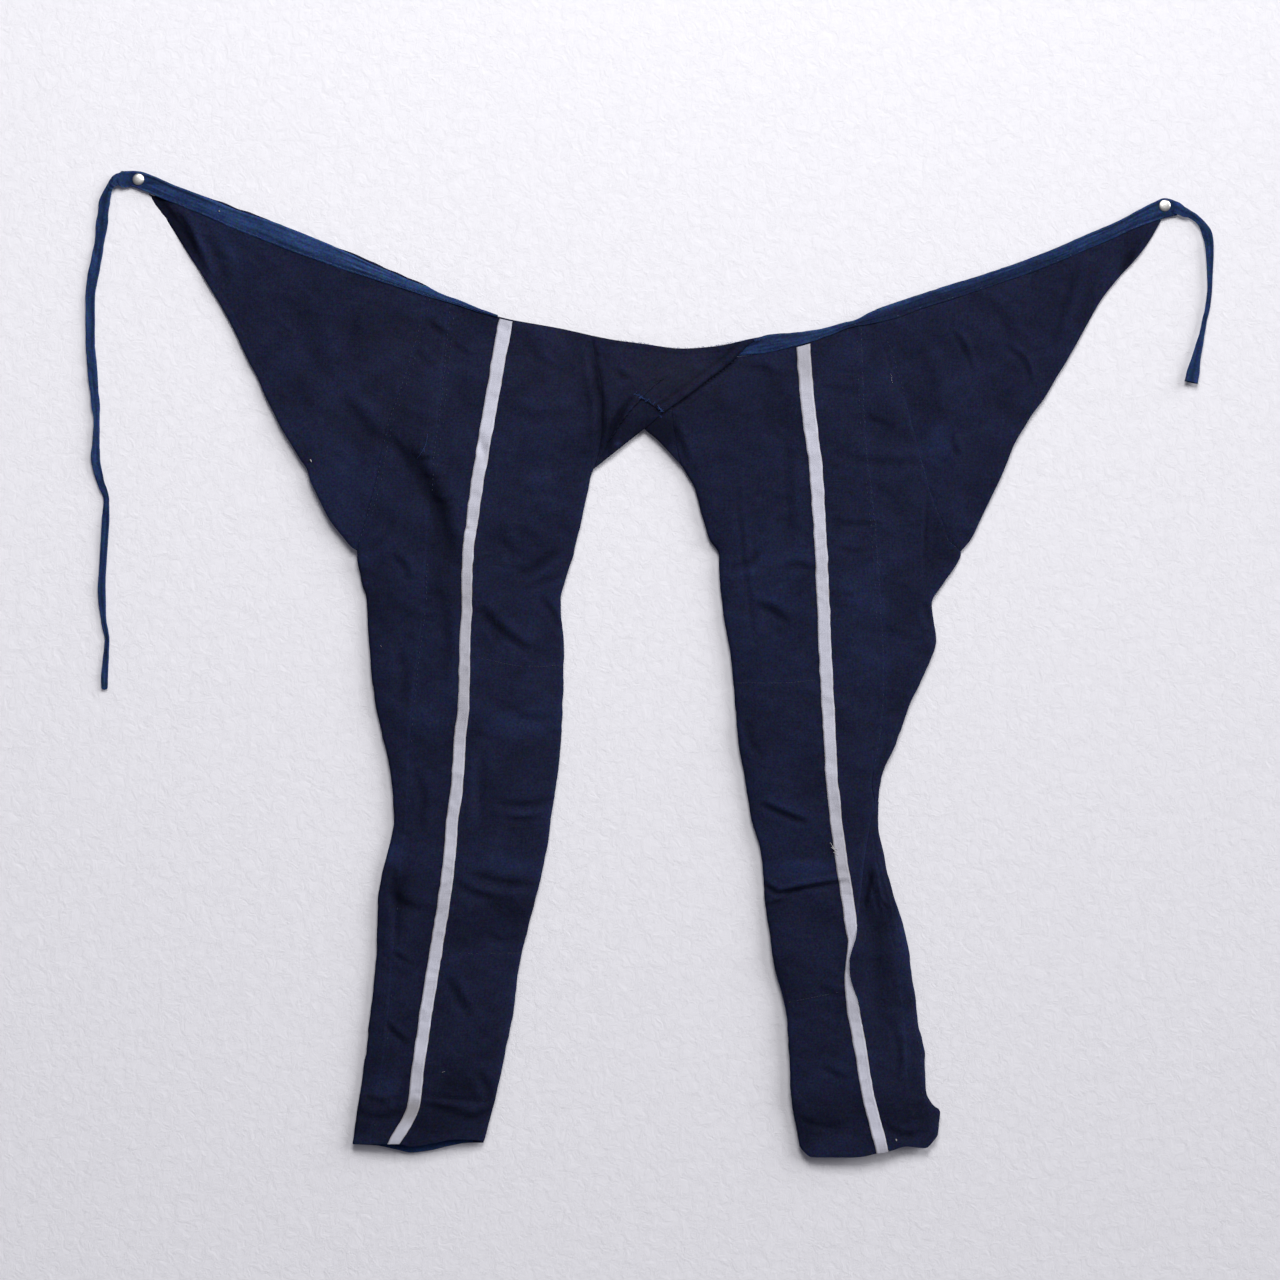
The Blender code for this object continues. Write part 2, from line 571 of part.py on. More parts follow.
def build_band(name, leg, top, low, columns, material, collection):
    """The folded strip sewn along the waist: a wall between its upper and lower edges."""

    def point(i, j):
        x = mix(top[0][0], top[-1][0], i / columns)
        z = mix(reading(top, x), reading(low, x), j / 2)
        crown = BAND_CROWN if j == 1 else 0.0
        return Vector((x, -leg.off(x, z) - BAND_PROUD - crown, z))

    return cloth(name, columns, 2, point, BAND_THICKNESS, material, collection)


def build_facing(material, collection):
    """The dark inner edge of the left band, which stands a little above it."""
    first, last = FACING_RISE[0][0], FACING_RISE[-1][0]
    columns = 16

    def point(i, j):
        x = mix(first, last, i / columns)
        high = reading(BAND_TOP_LEFT, x) + reading(FACING_RISE, x)
        z = mix(high, reading(BAND_LOW_LEFT, x), j)
        behind = BAND_THICKNESS - BAND_PROUD + SEAM_GAP
        return Vector((x, -LEFT.off(x, z) + behind, z))

    cloth("waist_facing_left", columns, 1, point, FACING_THICKNESS, material, collection)


def build_back(side, leg, top_ends, hem, material, collection):
    """The side of the leg against the wall. Its top runs from fork to fork across the leg."""
    fork_inner, fork_outer = top_ends
    top = (fork_inner[1] + fork_outer[1]) / 2
    heights = [mix(top, leg.bottom, k / BACK_ROWS) for k in range(BACK_ROWS + 1)]
    shares = BACK_SHARES if leg.outward > 0 else BACK_SHARES[::-1]
    inset = leg.outward * BACK_INSET

    def point(i, j):
        z = heights[j]
        for _ in range(2):
            x = mix(leg.at("inner", z) + inset, leg.at("fold", z) - inset, shares[i])
            share = clamp((x - fork_inner[0]) / (fork_outer[0] - fork_inner[0]))
            z = heights[j] + ease(1.0 - (top - heights[j]) / WAIST_REACH) * (
                mix(fork_inner[1], fork_outer[1], share) - top
            )
        z += ease(1.0 - (heights[j] - leg.bottom) / HEM_REACH) * (reading(hem, x) - leg.bottom)
        return Vector((x, -back_off(leg, x, z), z))

    cloth(f"leg_back_{side}", len(shares) - 1, len(heights) - 1, point, CLOTH, material, collection)


def back_off(leg, x, z):
    """How far the back's inner side stands off the wall: always clear of what lies in front of it."""
    s = clamp((x - leg.at("inner", z)) / (leg.at("fold", z) - leg.at("inner", z)))
    free = mix(BACK_EDGE_OFF, BACK_OFF, math.sin(math.pi * s) ** 0.5)
    front = leg.off(x, z) - max(crease(x, z), 0.0)
    if leg is RIGHT and CALF[-1][0] < z < CALF[0][0] + 0.02:
        front += min(calf_lift(x, z), 0.0)
    return min(free, front - CLOTH - 2 * SEAM_GAP)


def build_hem_facing(material, collection):
    """The lighter strip inside the back of the left hem."""
    first, last = HEM_FACING_SPAN
    columns = 10

    def point(i, j):
        x = mix(first, last, i / columns)
        z = mix(HEM_FACING_TOP, reading(BACK_HEM_LEFT, x) + 0.0005, j / 2)
        return Vector((x, -back_off(LEFT, x, z) - SEAM_GAP - FACING_THICKNESS, z))

    cloth("hem_facing_left", columns, 2, point, FACING_THICKNESS, material, collection)


def build_tie(name, rows, steps, material, collection):
    """A narrow flat strap, folded lengthwise, along a line with a width and a turn at each place."""

    def row_at(t):
        place = t * (len(rows) - 1)
        k = min(int(place), len(rows) - 2)
        before = rows[max(k - 1, 0)]
        after = rows[min(k + 2, len(rows) - 1)]
        values = (spline(*set_, place - k) for set_ in zip(before, rows[k], rows[k + 1], after))
        return dict(zip(TIE_COLUMNS, values))

    def point(i, j):
        t = j / steps
        here = row_at(t)
        ahead = row_at(min(t + 0.01, 1.0))
        behind = row_at(max(t - 0.01, 0.0))
        run = Vector((ahead["x"] - behind["x"], 0.0, ahead["z"] - behind["z"])).normalized()
        side = Vector((-run.z, 0.0, run.x))
        if j == 0:
            side = Vector((0.0, 0.0, math.copysign(1.0, run.x)))
        side = side * math.cos(here["turn"]) + Vector((0.0, -1.0, 0.0)) * math.sin(here["turn"])
        centre = Vector((here["x"], -here["off"], here["z"]))
        return centre + side * here["width"] * (i / 2 - 0.5)

    return cloth(name, 2, steps, point, TIE_THICKNESS, material, collection)


def build_pin(name, x, z, material, collection):
    """A drawing pin: a domed head and a pointed needle, turned from one profile."""
    dome = PIN_HEAD_HEIGHT - PIN_RIM
    profile = [
        (PIN_HEAD_RADIUS * math.sin(k * math.pi / 10), PIN_RIM + dome * math.cos(k * math.pi / 10))
        for k in range(6)
    ]
    profile += [(PIN_HEAD_RADIUS, 0.0), (PIN_NEEDLE_RADIUS, 0.0)]
    profile += [(PIN_NEEDLE_RADIUS, -PIN_NEEDLE_LENGTH), (0.0, PIN_TIP)]
    bm = bmesh.new()
    spots = [bm.verts.new((across, 0.0, up)) for across, up in profile]
    for a, b in zip(spots, spots[1:]):
        bm.edges.new((a, b))
    mesh = bpy.data.meshes.new(name)
    bm.to_mesh(mesh)
    bm.free()
    item = place(name, mesh, material, collection, smooth_angle=35.0)
    turn = item.modifiers.new("turned", "SCREW")
    turn.steps = turn.render_steps = 20
    turn.use_merge_vertices = True
    turn.merge_threshold = 0.00001
    item.location = (x, -(CORNER_OFF + BAND_PROUD + BAND_CROWN + SEAM_GAP), z)
    item.rotation_euler = (math.pi / 2, 0.0, 0.0)


def pin_hole(band, x, z, cutters):
    """Cuts the hole that the pin's needle makes through the band."""
    bm = bmesh.new()
    bmesh.ops.create_cone(
        bm, cap_ends=True, segments=16, radius1=PIN_HOLE_RADIUS, radius2=PIN_HOLE_RADIUS, depth=0.02
    )
    mesh = bpy.data.meshes.new(f"hole_{band.name}")
    bm.to_mesh(mesh)
    bm.free()
    cutter = bpy.data.objects.new(f"hole_{band.name}", mesh)
    cutters.objects.link(cutter)
    cutter.location = (x, -CORNER_OFF, z)
    cutter.rotation_euler = (math.pi / 2, 0.0, 0.0)
    cutter.hide_render = True
    cutter.display_type = "WIRE"
    cut = band.modifiers.new("pin hole", "BOOLEAN")
    cut.operation = "DIFFERENCE"
    cut.object = cutter


def build_left_leg(indigo, faded, pale, collection):
    heights = section_heights(LEFT, (CROTCH, FORK_LEFT, *(z for z, _ in SELVAGE_LEFT)))
    outer, seam, inner, middle = (leg_x(LEFT, name) for name in ("outer", "seam", "inner", "tape"))
    tape_l, tape_r = tape_edge(LEFT, -1), tape_edge(LEFT, 1)
    stations = between(outer, seam, (0, 0.12, 0.35, 0.65, 1))
    strip("side_gusset_left", LEFT, heights, stations, indigo, collection)
    stations = between(seam, tape_l, (0, 0.35, 0.7, 1)) + [middle]
    strip("outer_front_left", LEFT, heights, stations, indigo, collection)
    stations = [middle] + between(tape_r, inner, (0, 0.2, 0.4, 0.58, 0.75, 0.88, 0.955, 1))
    build_inner_lengths("left", LEFT, heights, stations, indigo, collection)
    proud = SEAM_GAP + TAPE_THICKNESS
    strip("tape_left", LEFT, heights, [tape_l, middle, tape_r], pale, collection, proud, TAPE_THICKNESS)
    build_wing("left", LEFT, WING_EDGE_LEFT, heights, FORK_LEFT, indigo, collection)
    build_back("left", LEFT, BACK_TOP_LEFT, BACK_HEM_LEFT, indigo, collection)
    build_hem_facing(faded, collection)
    return heights


def build_right_leg(indigo, pale, collection):
    breaks = (CROTCH, FORK_RIGHT, GUSSET_END, KNEE_END, KNEE_CLEAR, *(z for z, _ in SELVAGE_RIGHT))
    heights = section_heights(RIGHT, breaks)
    seam, inner, outer = (leg_x(RIGHT, name) for name in ("seam", "inner", "outer"))
    tape_l, tape_r = tape_edge(RIGHT, -1), tape_edge(RIGHT, 1)
    stations = between(inner, tape_l, (0, 0.045, 0.12, 0.25, 0.42, 0.6, 0.8, 1)) + [right_join]
    build_inner_lengths("right", RIGHT, heights, stations, indigo, collection)
    above_knee = [z for z in heights if z > KNEE_END - 0.001]
    stations = [right_join] + between(tape_r, knee_edge, (0, 0.3, 0.65, 1))
    strip("outer_front_right", RIGHT, above_knee, stations, indigo, collection)
    above_twist = [z for z in heights if z > GUSSET_END - 0.001]
    stations = between(knee_edge, gusset_edge, (0, 0.35, 0.65, 0.88, 1))
    strip("side_gusset_right", RIGHT, above_twist, stations, indigo, collection)
    calf_rows = [row[0] for row in CALF] + [z for z in heights if z < CALF[-1][0] - 0.004]
    stations = between(calf_left, seam, (0, 0.2, 0.45, 0.72, 1))
    strip("outer_front_calf_right", RIGHT, calf_rows, stations, indigo, collection, lift=calf_lift)
    stations = between(seam, outer, (0, 0.4, 0.8, 1))
    strip("side_gusset_calf_right", RIGHT, calf_rows, stations, indigo, collection, lift=calf_lift)
    proud = SEAM_GAP + TAPE_THICKNESS
    tape_lines = [tape_l, leg_x(RIGHT, "tape"), tape_r]
    strip("tape_right", RIGHT, heights, tape_lines, pale, collection, proud, TAPE_THICKNESS)
    build_wing("right", RIGHT, WING_EDGE_RIGHT, heights, FORK_RIGHT, indigo, collection)
    build_back("right", RIGHT, BACK_TOP_RIGHT, HEM_RIGHT, indigo, collection)
    return heights


def inner_seam(leg, heights, sideways):
    """A leg's inner edge from the waist to the crotch, as a line that a seat piece is sewn to."""
    rows = [z for z in heights if z > CROTCH - 0.001]

    def spot(t):
        z = rows[round(t * (len(rows) - 1))]
        x = leg.at("inner", z) + sideways
        return x, min(leg.height(x, z), reading(leg.waist, x) - SEAM_GAP)

    return spot, len(rows) - 1


def build_seat(left_heights, right_heights, indigo, collection):
    """The two seat pieces that cross in the middle, and the small square under the upper one's tip."""
    left_seam, left_rows = inner_seam(LEFT, left_heights, SEAM_GAP / 2)
    right_seam, right_rows = inner_seam(RIGHT, right_heights, -SEAM_GAP / 2)

    def flap_off(x, z):
        return LEFT.at("inner_off", z) + FLAP_RISE * ease((x - WAIST_LEFT[-1][0]) / FLAP_REACH)

    def line(points, smooth=True):
        return lambda t: along(points, t, smooth)

    flap_low = (left_seam(1.0),) + GUSSET_SEAM[1:] + GUSSET_TOP[1:]
    flap_top = (left_seam(0.0),) + FLAP_TOP[1:]
    quilt(
        "crotch_flap", 12, left_rows, line(flap_top), line(flap_low, smooth=False), left_seam,
        line(FLAP_FOLD), flap_off, indigo, collection,
    )
    quilt(
        "crotch_gusset", 5, 6, line(GUSSET_TOP), line(GUSSET_LOW), line(GUSSET_SEAM[::-1], smooth=False),
        line((GUSSET_TOP[1], GUSSET_LOW[1])), lambda x, z: flap_off(x, z) - GUSSET_BEHIND, indigo, collection,
    )
    quilt(
        "crotch_under_right", 6, right_rows, line((UNDER_LEFT[0], right_seam(0.0))),
        line((UNDER_LEFT[-1], right_seam(1.0))), line(UNDER_LEFT), right_seam,
        lambda x, z: flap_off(x, z) - UNDER_BEHIND, indigo, collection,
    )


def build():
    for item in list(bpy.data.objects):
        bpy.data.objects.remove(item, do_unlink=True)
    collection = new_collection("momohiki")
    cutters = new_collection("cutters", hidden=True)
    indigo, faded, pale, steel = (finish(*values) for values in (INDIGO, FADED, PALE, STEEL))
    left_heights = build_left_leg(indigo, faded, pale, collection)
    right_heights = build_right_leg(indigo, pale, collection)
    build_seat(left_heights, right_heights, indigo, collection)
    build_facing(indigo, collection)
    band = build_band("waistband_left", LEFT, BAND_TOP_LEFT, BAND_LOW_LEFT, 26, faded, collection)
    pin_hole(band, 0.0, 0.0, cutters)
    band = build_band("waistband_right", RIGHT, BAND_TOP_RIGHT, BAND_LOW_RIGHT, 30, faded, collection)
    pin_hole(band, *PIN_RIGHT, cutters)
    build_tie("tie_left", TIE_LEFT, 38, faded, collection)
    build_tie("tie_right", TIE_RIGHT, 22, faded, collection)
    build_pin("pin_left", 0.0, 0.0, steel, collection)
    build_pin("pin_right", *PIN_RIGHT, steel, collection)


build()
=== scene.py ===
"""Indigo cotton momohiki trousers, pinned spread out on a pale wall: their looks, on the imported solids.

Metres. +Z is up, +X runs to the right as the trousers are seen, and they hang on the wall's -Y side.
The origin is where the left pin enters the wall plane, Y = 0. The long tables are in millimetres.
"""

import math

import bmesh
import bpy
import numpy as np
from mathutils import Matrix, Vector


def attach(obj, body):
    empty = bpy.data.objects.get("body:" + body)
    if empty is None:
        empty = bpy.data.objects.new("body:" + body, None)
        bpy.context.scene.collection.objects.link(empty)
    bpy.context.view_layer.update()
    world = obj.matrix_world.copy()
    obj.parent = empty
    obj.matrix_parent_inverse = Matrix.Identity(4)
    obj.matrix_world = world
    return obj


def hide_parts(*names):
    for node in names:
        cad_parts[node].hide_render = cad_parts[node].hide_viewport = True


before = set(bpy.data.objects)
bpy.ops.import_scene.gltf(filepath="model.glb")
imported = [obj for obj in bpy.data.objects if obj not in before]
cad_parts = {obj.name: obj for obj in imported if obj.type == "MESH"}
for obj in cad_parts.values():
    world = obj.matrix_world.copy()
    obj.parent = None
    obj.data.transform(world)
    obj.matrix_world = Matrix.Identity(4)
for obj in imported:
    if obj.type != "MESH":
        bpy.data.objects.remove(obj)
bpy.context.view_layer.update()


# The photographer's place. The camera stands square on to the wall, with a long lens, so that the few
# millimetres by which the cloth stands off the wall hardly move its outline.
PHOTO_CENTRE = (0.4770, -0.4380)
PHOTO_WIDTH = 1.216
CLOTH_PLANE = -0.008
SENSOR = 36.0
LENS = 100.0


def put(name, data):
    """An object of this data, linked to the scene."""
    item = bpy.data.objects.new(name, data)
    bpy.context.scene.collection.objects.link(item)
    return item


camera = put("camera", bpy.data.cameras.new("camera"))
camera.data.lens = LENS
camera.data.sensor_width = SENSOR
camera.location = (PHOTO_CENTRE[0], CLOTH_PLANE - PHOTO_WIDTH * LENS / SENSOR, PHOTO_CENTRE[1])
camera.rotation_euler = (math.pi / 2, 0.0, 0.0)
bpy.context.scene.camera = camera
bpy.context.scene.view_settings.view_transform = "Standard"


# The wall, papered in pale grey-white with a shallow embossed grain. It shows on its room side only, so
# that the trousers can be seen from behind as well.
WALL_HALF = 4.0
WALL_COLOUR = (0.806, 0.801, 0.848, 1.0)


class Finish:
    """A material, with short ways to add nodes to its tree and to link them."""

    def __init__(self, name):
        self.material = bpy.data.materials.new(name)
        self.material.use_nodes = True
        self.tree = self.material.node_tree
        self.shader = self.tree.nodes["Principled BSDF"]
        self.place = self.add("TexCoord").outputs["Object"]

    def feed(self, item, sockets):
        """Links what is a socket to a node's inputs, and sets the rest as values."""
        for key, value in sockets.items():
            if isinstance(value, bpy.types.NodeSocket):
                self.tree.links.new(value, item.inputs[key])
            else:
                item.inputs[key].default_value = value

    def add(self, kind, sockets=(), **settings):
        item = self.tree.nodes.new("ShaderNode" + kind)
        for key, value in settings.items():
            setattr(item, key, value)
        self.feed(item, dict(sockets))
        return item

    def calc(self, operation, *values, **settings):
        return self.add("Math", dict(enumerate(values)), operation=operation, **settings).outputs[0]

    def noise(self, scale, detail, vector=None, output="Fac", **more):
        vector = self.place if vector is None else vector
        return self.add("TexNoise", {"Vector": vector, "Scale": scale, "Detail": detail, **more}).outputs[output]

    def blend(self, share, first, second, **settings):
        return self.add("Mix", {0: share, 6: first, 7: second}, data_type="RGBA", **settings).outputs[2]

    def span(self, value, end, low, high):
        """A value with its range's "From" or "To" end set."""
        return self.add("MapRange", {"Value": value, end + " Min": low, end + " Max": high}).outputs[0]

    def bump(self, height, strength, distance):
        return self.add("Bump", {"Height": height, "Strength": strength, "Distance": distance}).outputs["Normal"]

    def mark(self, name):
        return self.add("Attribute", attribute_name=name).outputs["Fac"]


def built(name, bm, material):
    """A smooth object made from a bmesh, in one material."""
    mesh = bpy.data.meshes.new(name)
    bm.to_mesh(mesh)
    bm.free()
    mesh.shade_smooth()
    mesh.materials.append(material)
    return put(name, mesh)


paper = Finish("wall paper")
emboss = {"Vector": paper.place, "Scale": 95.0, "Detail": 6.0, "Roughness": 0.66, "Distortion": 0.8}
emboss = paper.add("TexNoise", emboss)
shift = paper.add("VectorMath", {0: emboss.outputs["Color"], 1: (0.030,) * 3, 2: paper.place}, operation="MULTIPLY_ADD")
ridges = paper.add("TexVoronoi", {"Vector": shift.outputs[0], "Scale": 62.0}, feature="DISTANCE_TO_EDGE")
lines = paper.calc("LESS_THAN", ridges.outputs["Distance"], 0.05)
height = paper.calc("MULTIPLY_ADD", lines, 0.13, emboss.outputs["Fac"])
paper.feed(paper.shader, {
    "Base Color": WALL_COLOUR, "Roughness": 0.9, "Specular IOR Level": 0.2, "Normal": paper.bump(height, 0.47, 0.0016),
})
front = paper.calc("SUBTRACT", 1.0, paper.add("NewGeometry").outputs["Backfacing"])
seen = paper.calc("MULTIPLY", front, paper.add("LightPath").outputs["Is Camera Ray"])
clear = paper.add("BsdfTransparent").outputs[0]
either = paper.add("MixShader", {0: seen, 1: clear, 2: paper.shader.outputs[0]})
paper.feed(paper.tree.nodes["Material Output"], {"Surface": either.outputs[0]})

bm = bmesh.new()
bmesh.ops.create_grid(bm, x_segments=1, y_segments=1, size=WALL_HALF)
bmesh.ops.rotate(bm, verts=bm.verts, matrix=Matrix.Rotation(math.pi / 2, 3, "X"))
bmesh.ops.translate(bm, verts=bm.verts, vec=(PHOTO_CENTRE[0], 0.0, PHOTO_CENTRE[1]))
built("wall", bm, paper.material)


# The light: a wide soft lamp above, day slanting in from the upper right, a pale even room, and a lamp
# behind for the hidden side.
ROOM_LIGHT = (0.90, 0.885, 1.0, 1.0)
ROOM_STRENGTH = 0.16
LIGHTS = (
    ("above", (0.66, -2.40, 1.46), 1.4, 72.0, (1.0, 0.990, 0.975)),
    ("behind", (0.1, 2.6, 0.7), 1.6, 60.0, (1.0, 0.99, 0.98)),
)
DAY_FROM = (0.82, -0.42, 0.42)
DAY_STRENGTH = 2.35
DAY_SPREAD = 0.72

world = bpy.data.worlds.new("room")
world.use_nodes = True
world.node_tree.nodes["Background"].inputs["Color"].default_value = ROOM_LIGHT
world.node_tree.nodes["Background"].inputs["Strength"].default_value = ROOM_STRENGTH
bpy.context.scene.world = world
for name, spot, size, power, colour in LIGHTS:
    lamp = put(name, bpy.data.lights.new(name, "AREA"))
    lamp.data.size = size
    lamp.data.energy = power
    lamp.data.color = colour
    lamp.location = spot
    aim = Vector((PHOTO_CENTRE[0], 0.0, PHOTO_CENTRE[1])) - lamp.location
    lamp.rotation_euler = aim.to_track_quat("-Z", "Y").to_euler()
day = put("day", bpy.data.lights.new("day", "SUN"))
day.data.energy = DAY_STRENGTH
day.data.angle = DAY_SPREAD
day.rotation_euler = (-Vector(DAY_FROM)).to_track_quat("-Z", "Y").to_euler()


# The left leg's front. Plain-woven indigo cotton in five panels: a tapering side gusset, the outer front,
# and the inner front, which was pieced from three lengths, selvage to selvage. Sewn by hand with blue thread.
WALL = 0.0008
GAP = 0.0003
SEAM_GAP = 0.00003
# How strongly the cloth's relief is painted into its colour: darker in the troughs of its creases, as painted shade,
# and paler where it stands proud, where it is worn.
CREASE_SHADE_AND_WEAR = 125.0
PITCH = 0.0021
CROWDING = 0.55
CORNER_OFF = 0.0036
WAIST_REACH = 0.09
HEM_REACH = 0.07
HEM_DEEP = 0.050
SELVAGE_REACH = 0.06
CREASE_WIDTH = 0.85
CREASE_DEPTH = 1.3
UNEVEN = {"inner": 51, "outer": 52, "fold": 52, "seam": 53}


def pairs(*flat):
    """Places, or places with a value, from a row of millimetres."""
    return tuple((a / 1000, b / 1000) for a, b in zip(flat[::2], flat[1::2]))


# Down the leg: the height, the inner edge, the tape's middle and width, the side seam and the outer edge.
LEG_COLUMNS = ("z", "inner", "tape", "width", "seam", "outer")
LEG_LEFT = (
    (-132, 430, 350, 13, 296, 273), (-160, 435, 345, 13, 293, 266), (-195, 440, 339, 12.8, 289, 252),
    (-229, 441, 333, 12.6, 285, 238), (-258, 438, 328, 12.4, 281, 231), (-286, 429.5, 323, 11.8, 279, 226),
    (-324, 421.5, 318, 11.3, 276, 216), (-354, 414.3, 314, 10.8, 275, 208), (-385, 405, 313, 10.2, 273, 213),
    (-400, 401.5, 313, 10, 273, 217), (-438, 404.5, 311, 10.2, 268, 219), (-495, 403.8, 310, 10.6, 262, 225),
    (-533, 401.8, 306, 11.4, 259, 233), (-571, 398.2, 304, 11.6, 258, 241), (-609, 392.2, 299, 11.6, 256, 243),
    (-647, 386.5, 296, 11.6, 251, 235), (-685, 377.5, 291, 11.8, 246, 228), (-742, 363.5, 282, 12, 242, 226),
    (-799, 355.2, 273, 12, 238, 220), (-856, 343.5, 265, 12, 231, 213), (-879, 338.5, 262, 12, 227, 209),
    (-917, 329, 243, 11.8, 222, 204),
)
OFFS_LEFT = {
    "inner_off": (-132, 9, -195, 9, -229, 8.8, -258, 8.2, -286, 7, -324, 6.7, -917, 6.7),
    "outer_off": (-132, 9, -229, 9, -258, 9.6, -286, 9.8, -324, 9.6, -354, 8.8, -385, 6.7, -917, 6.7),
    "swell": (
        -132, 1.5, -160, 2, -195, 2.5, -229, 3.5, -258, 4.5, -286, 5.2, -324, 6.2, -354, 6.8, -385, 7.5, -495, 7.5,
        -533, 7.2, -571, 7, -856, 7, -879, 7.2, -917, 7.5,
    ),
}
WAIST_LEFT = pairs(
    9.8, -11.8, 40, -23.4, 78, -39.5, 116, -55.2, 154, -70, 192, -83.3, 230, -95.7, 268, -108, 306, -120.2,
    344, -131, 357, -134, 401, -141.8, 430, -148.2,
)
HEM_LEFT = pairs(
    204, -917, 225, -916.5, 248, -916, 260, -918.5, 280, -915.5, 302, -912, 329, -913.5,
)
SELVAGE_LEFT = ((-0.4545, -0.0075), (-0.7355, 0.0000))
WING_CORNER_LEFT = 0.0080

# The creases in the cloth, each one as it lies: how deep and how wide its trough is, how high the ridge
# beside it stands, on its left side where that is positive, and then x and z of points along it.
CREASES = (
    (2.3, 11, 0.8, 237, -233, 259, -266, 279, -302, 294, -341, 304, -372),
    (0.7, 3.2, 0.4, 235, -236, 252, -262, 264, -287), (0.7, 8, 0.3, 190, -205, 208, -226, 226, -248),
    (1.4, 4.2, 0.6, 240, -358, 252, -368, 257, -383), (1, 7.5, 0.5, 347, -222, 382, -229, 416, -221),
    (2.2, 5.2, -1, 360, -380, 379, -368, 399, -354), (1.1, 4, -0.5, 366, -392, 384, -384, 404, -377),
    (1.2, 4.5, 0.6, 382, -400, 393, -413, 401, -427), (2.2, 6, 1.1, 324, -408, 347, -433, 371, -449),
    (0.8, 2.8, 0.3, 331, -425, 343, -440, 353, -452), (1.8, 5.6, -0.9, 328, -542, 326, -580, 328, -614),
    (0.8, 4.6, -0.4, 336, -560, 335, -590, 339, -620), (1.8, 5, -0.9, 339, -594, 368, -596, 394, -590),
    (0.9, 3.6, 0.4, 346, -606, 364, -609, 384, -606), (2.1, 5.4, -1, 312, -660, 347, -669, 379, -673),
    (1, 4, 0.5, 300, -668, 322, -680, 340, -684), (1.3, 4.8, 0.6, 237, -678, 254, -690, 277, -696),
    (1, 3.5, 0.5, 241, -735, 251, -742, 261, -747), (1.3, 5, -0.6, 243, -660, 246, -696, 244, -732),
    (1.5, 3.8, 0.7, 234, -802, 245, -813, 257, -822), (1.9, 5.6, 0.9, 293, -758, 305, -780, 316, -798),
    (1.4, 5, -0.7, 320, -845, 330, -861, 335, -876), (1.2, 4.5, 0.6, 306, -893, 323, -890, 339, -883),
    (1.2, 5, 0.6, 206, -887, 230, -892, 254, -883), (1.8, 4.6, 1.3, 37, -32, 49, -58, 65, -93),
    (1.1, 7, 0.6, 60, -52, 75, -75, 83, -108), (1.1, 3.6, 0.4, 273, -132, 283, -143, 296, -149),
    (0.9, 3.2, 0.4, 298, -157, 308, -164, 317, -168), (1, 4, 0.5, 263, -162, 272, -174, 283, -180),
    (1.1, 5, -0.5, 319, -237, 327, -254, 333, -276), (1.2, 7, 0.5, 287, -390, 293, -438, 288, -485),
    (0.8, 4.4, 0.5, 439, -164, 450, -181, 469, -194),
    (2.2, 4.2, -1.2, 429, -153, 435.5, -195, 440, -215, 439.5, -250, 433, -275),
    (3, 3.6, 0.8, 469.3, -206.2, 453.2, -231.8, 441.8, -259.4), (0.6, 4.4, -0.5, 447, -165, 456, -180, 462, -197),
    (1.1, 8, 0.4, 185, -200, 222, -242, 259.4, -268, 279.3, -302.1, 293.6, -341.1, 306, -380),
    (1.1, 3, 0.5, 259.4, -261, 269, -267, 283, -266), (1, 3.2, 0.4, 270, -283, 283, -286, 296, -283),
    (1, 3, 0.4, 276, -306, 290, -308, 301, -303), (1.1, 4, 0.5, 215, -356, 233, -340, 242, -320),
    (3, 1.9, 0.6, 592, -156, 580.5, -159.5, 562.4, -177, 541.5, -193, 523.5, -207, 496, -226),
    (1.2, 3, -0.8, 262, -868, 295, -873, 338, -877), (1.1, 5, 0.6, 270, -878, 300, -887, 326, -897),
    (1, 4, 0.5, 214, -870, 232, -877, 250, -872), (0.9, 12, 0.4, 120, -85, 150, -130, 172, -190),
    (0.8, 10, -0.4, 205, -110, 200, -150, 212, -190), (0.8, 8, 0.4, 360, -150, 376, -170, 381, -200),
    (0.9, 7, 0.5, 351, -290, 372, -300, 398, -296), (1, 6, 0.5, 340, -330, 352, -352, 370, -362),
    (1, 6, -0.5, 247, -440, 252, -470, 249, -505), (1, 6, 0.6, 350, -500, 372, -515, 396, -512),
    (1, 5.5, 0.5, 262, -560, 270, -590, 266, -622), (1, 5, 0.5, 330, -715, 344, -724, 362, -722),
    (0.9, 4, 0.4, 254, -850, 250, -868, 242, -880),
)


def ease(t):
    t = np.clip(t, 0.0, 1.0)
    return t * t * (3.0 - 2.0 * t)


def mix(a, b, t):
    return a + (b - a) * t


def hill(gap, reach):
    """A smooth hill, 1 high where the gap is 0."""
    return np.exp(-((gap / reach) ** 2))


def fade(gap, reach):
    return np.exp(-gap / reach)


def curl(gap, reach):
    """How an edge rolls back: 1 at the edge itself, 0 beyond its reach."""
    return np.clip(1.0 - gap / reach, 0.0, 1.0) ** 2


def crowd(t):
    """Moves even steps from 0 to 1 closer together at both ends."""
    return t - CROWDING * np.sin(2 * math.pi * t) / (2 * math.pi)


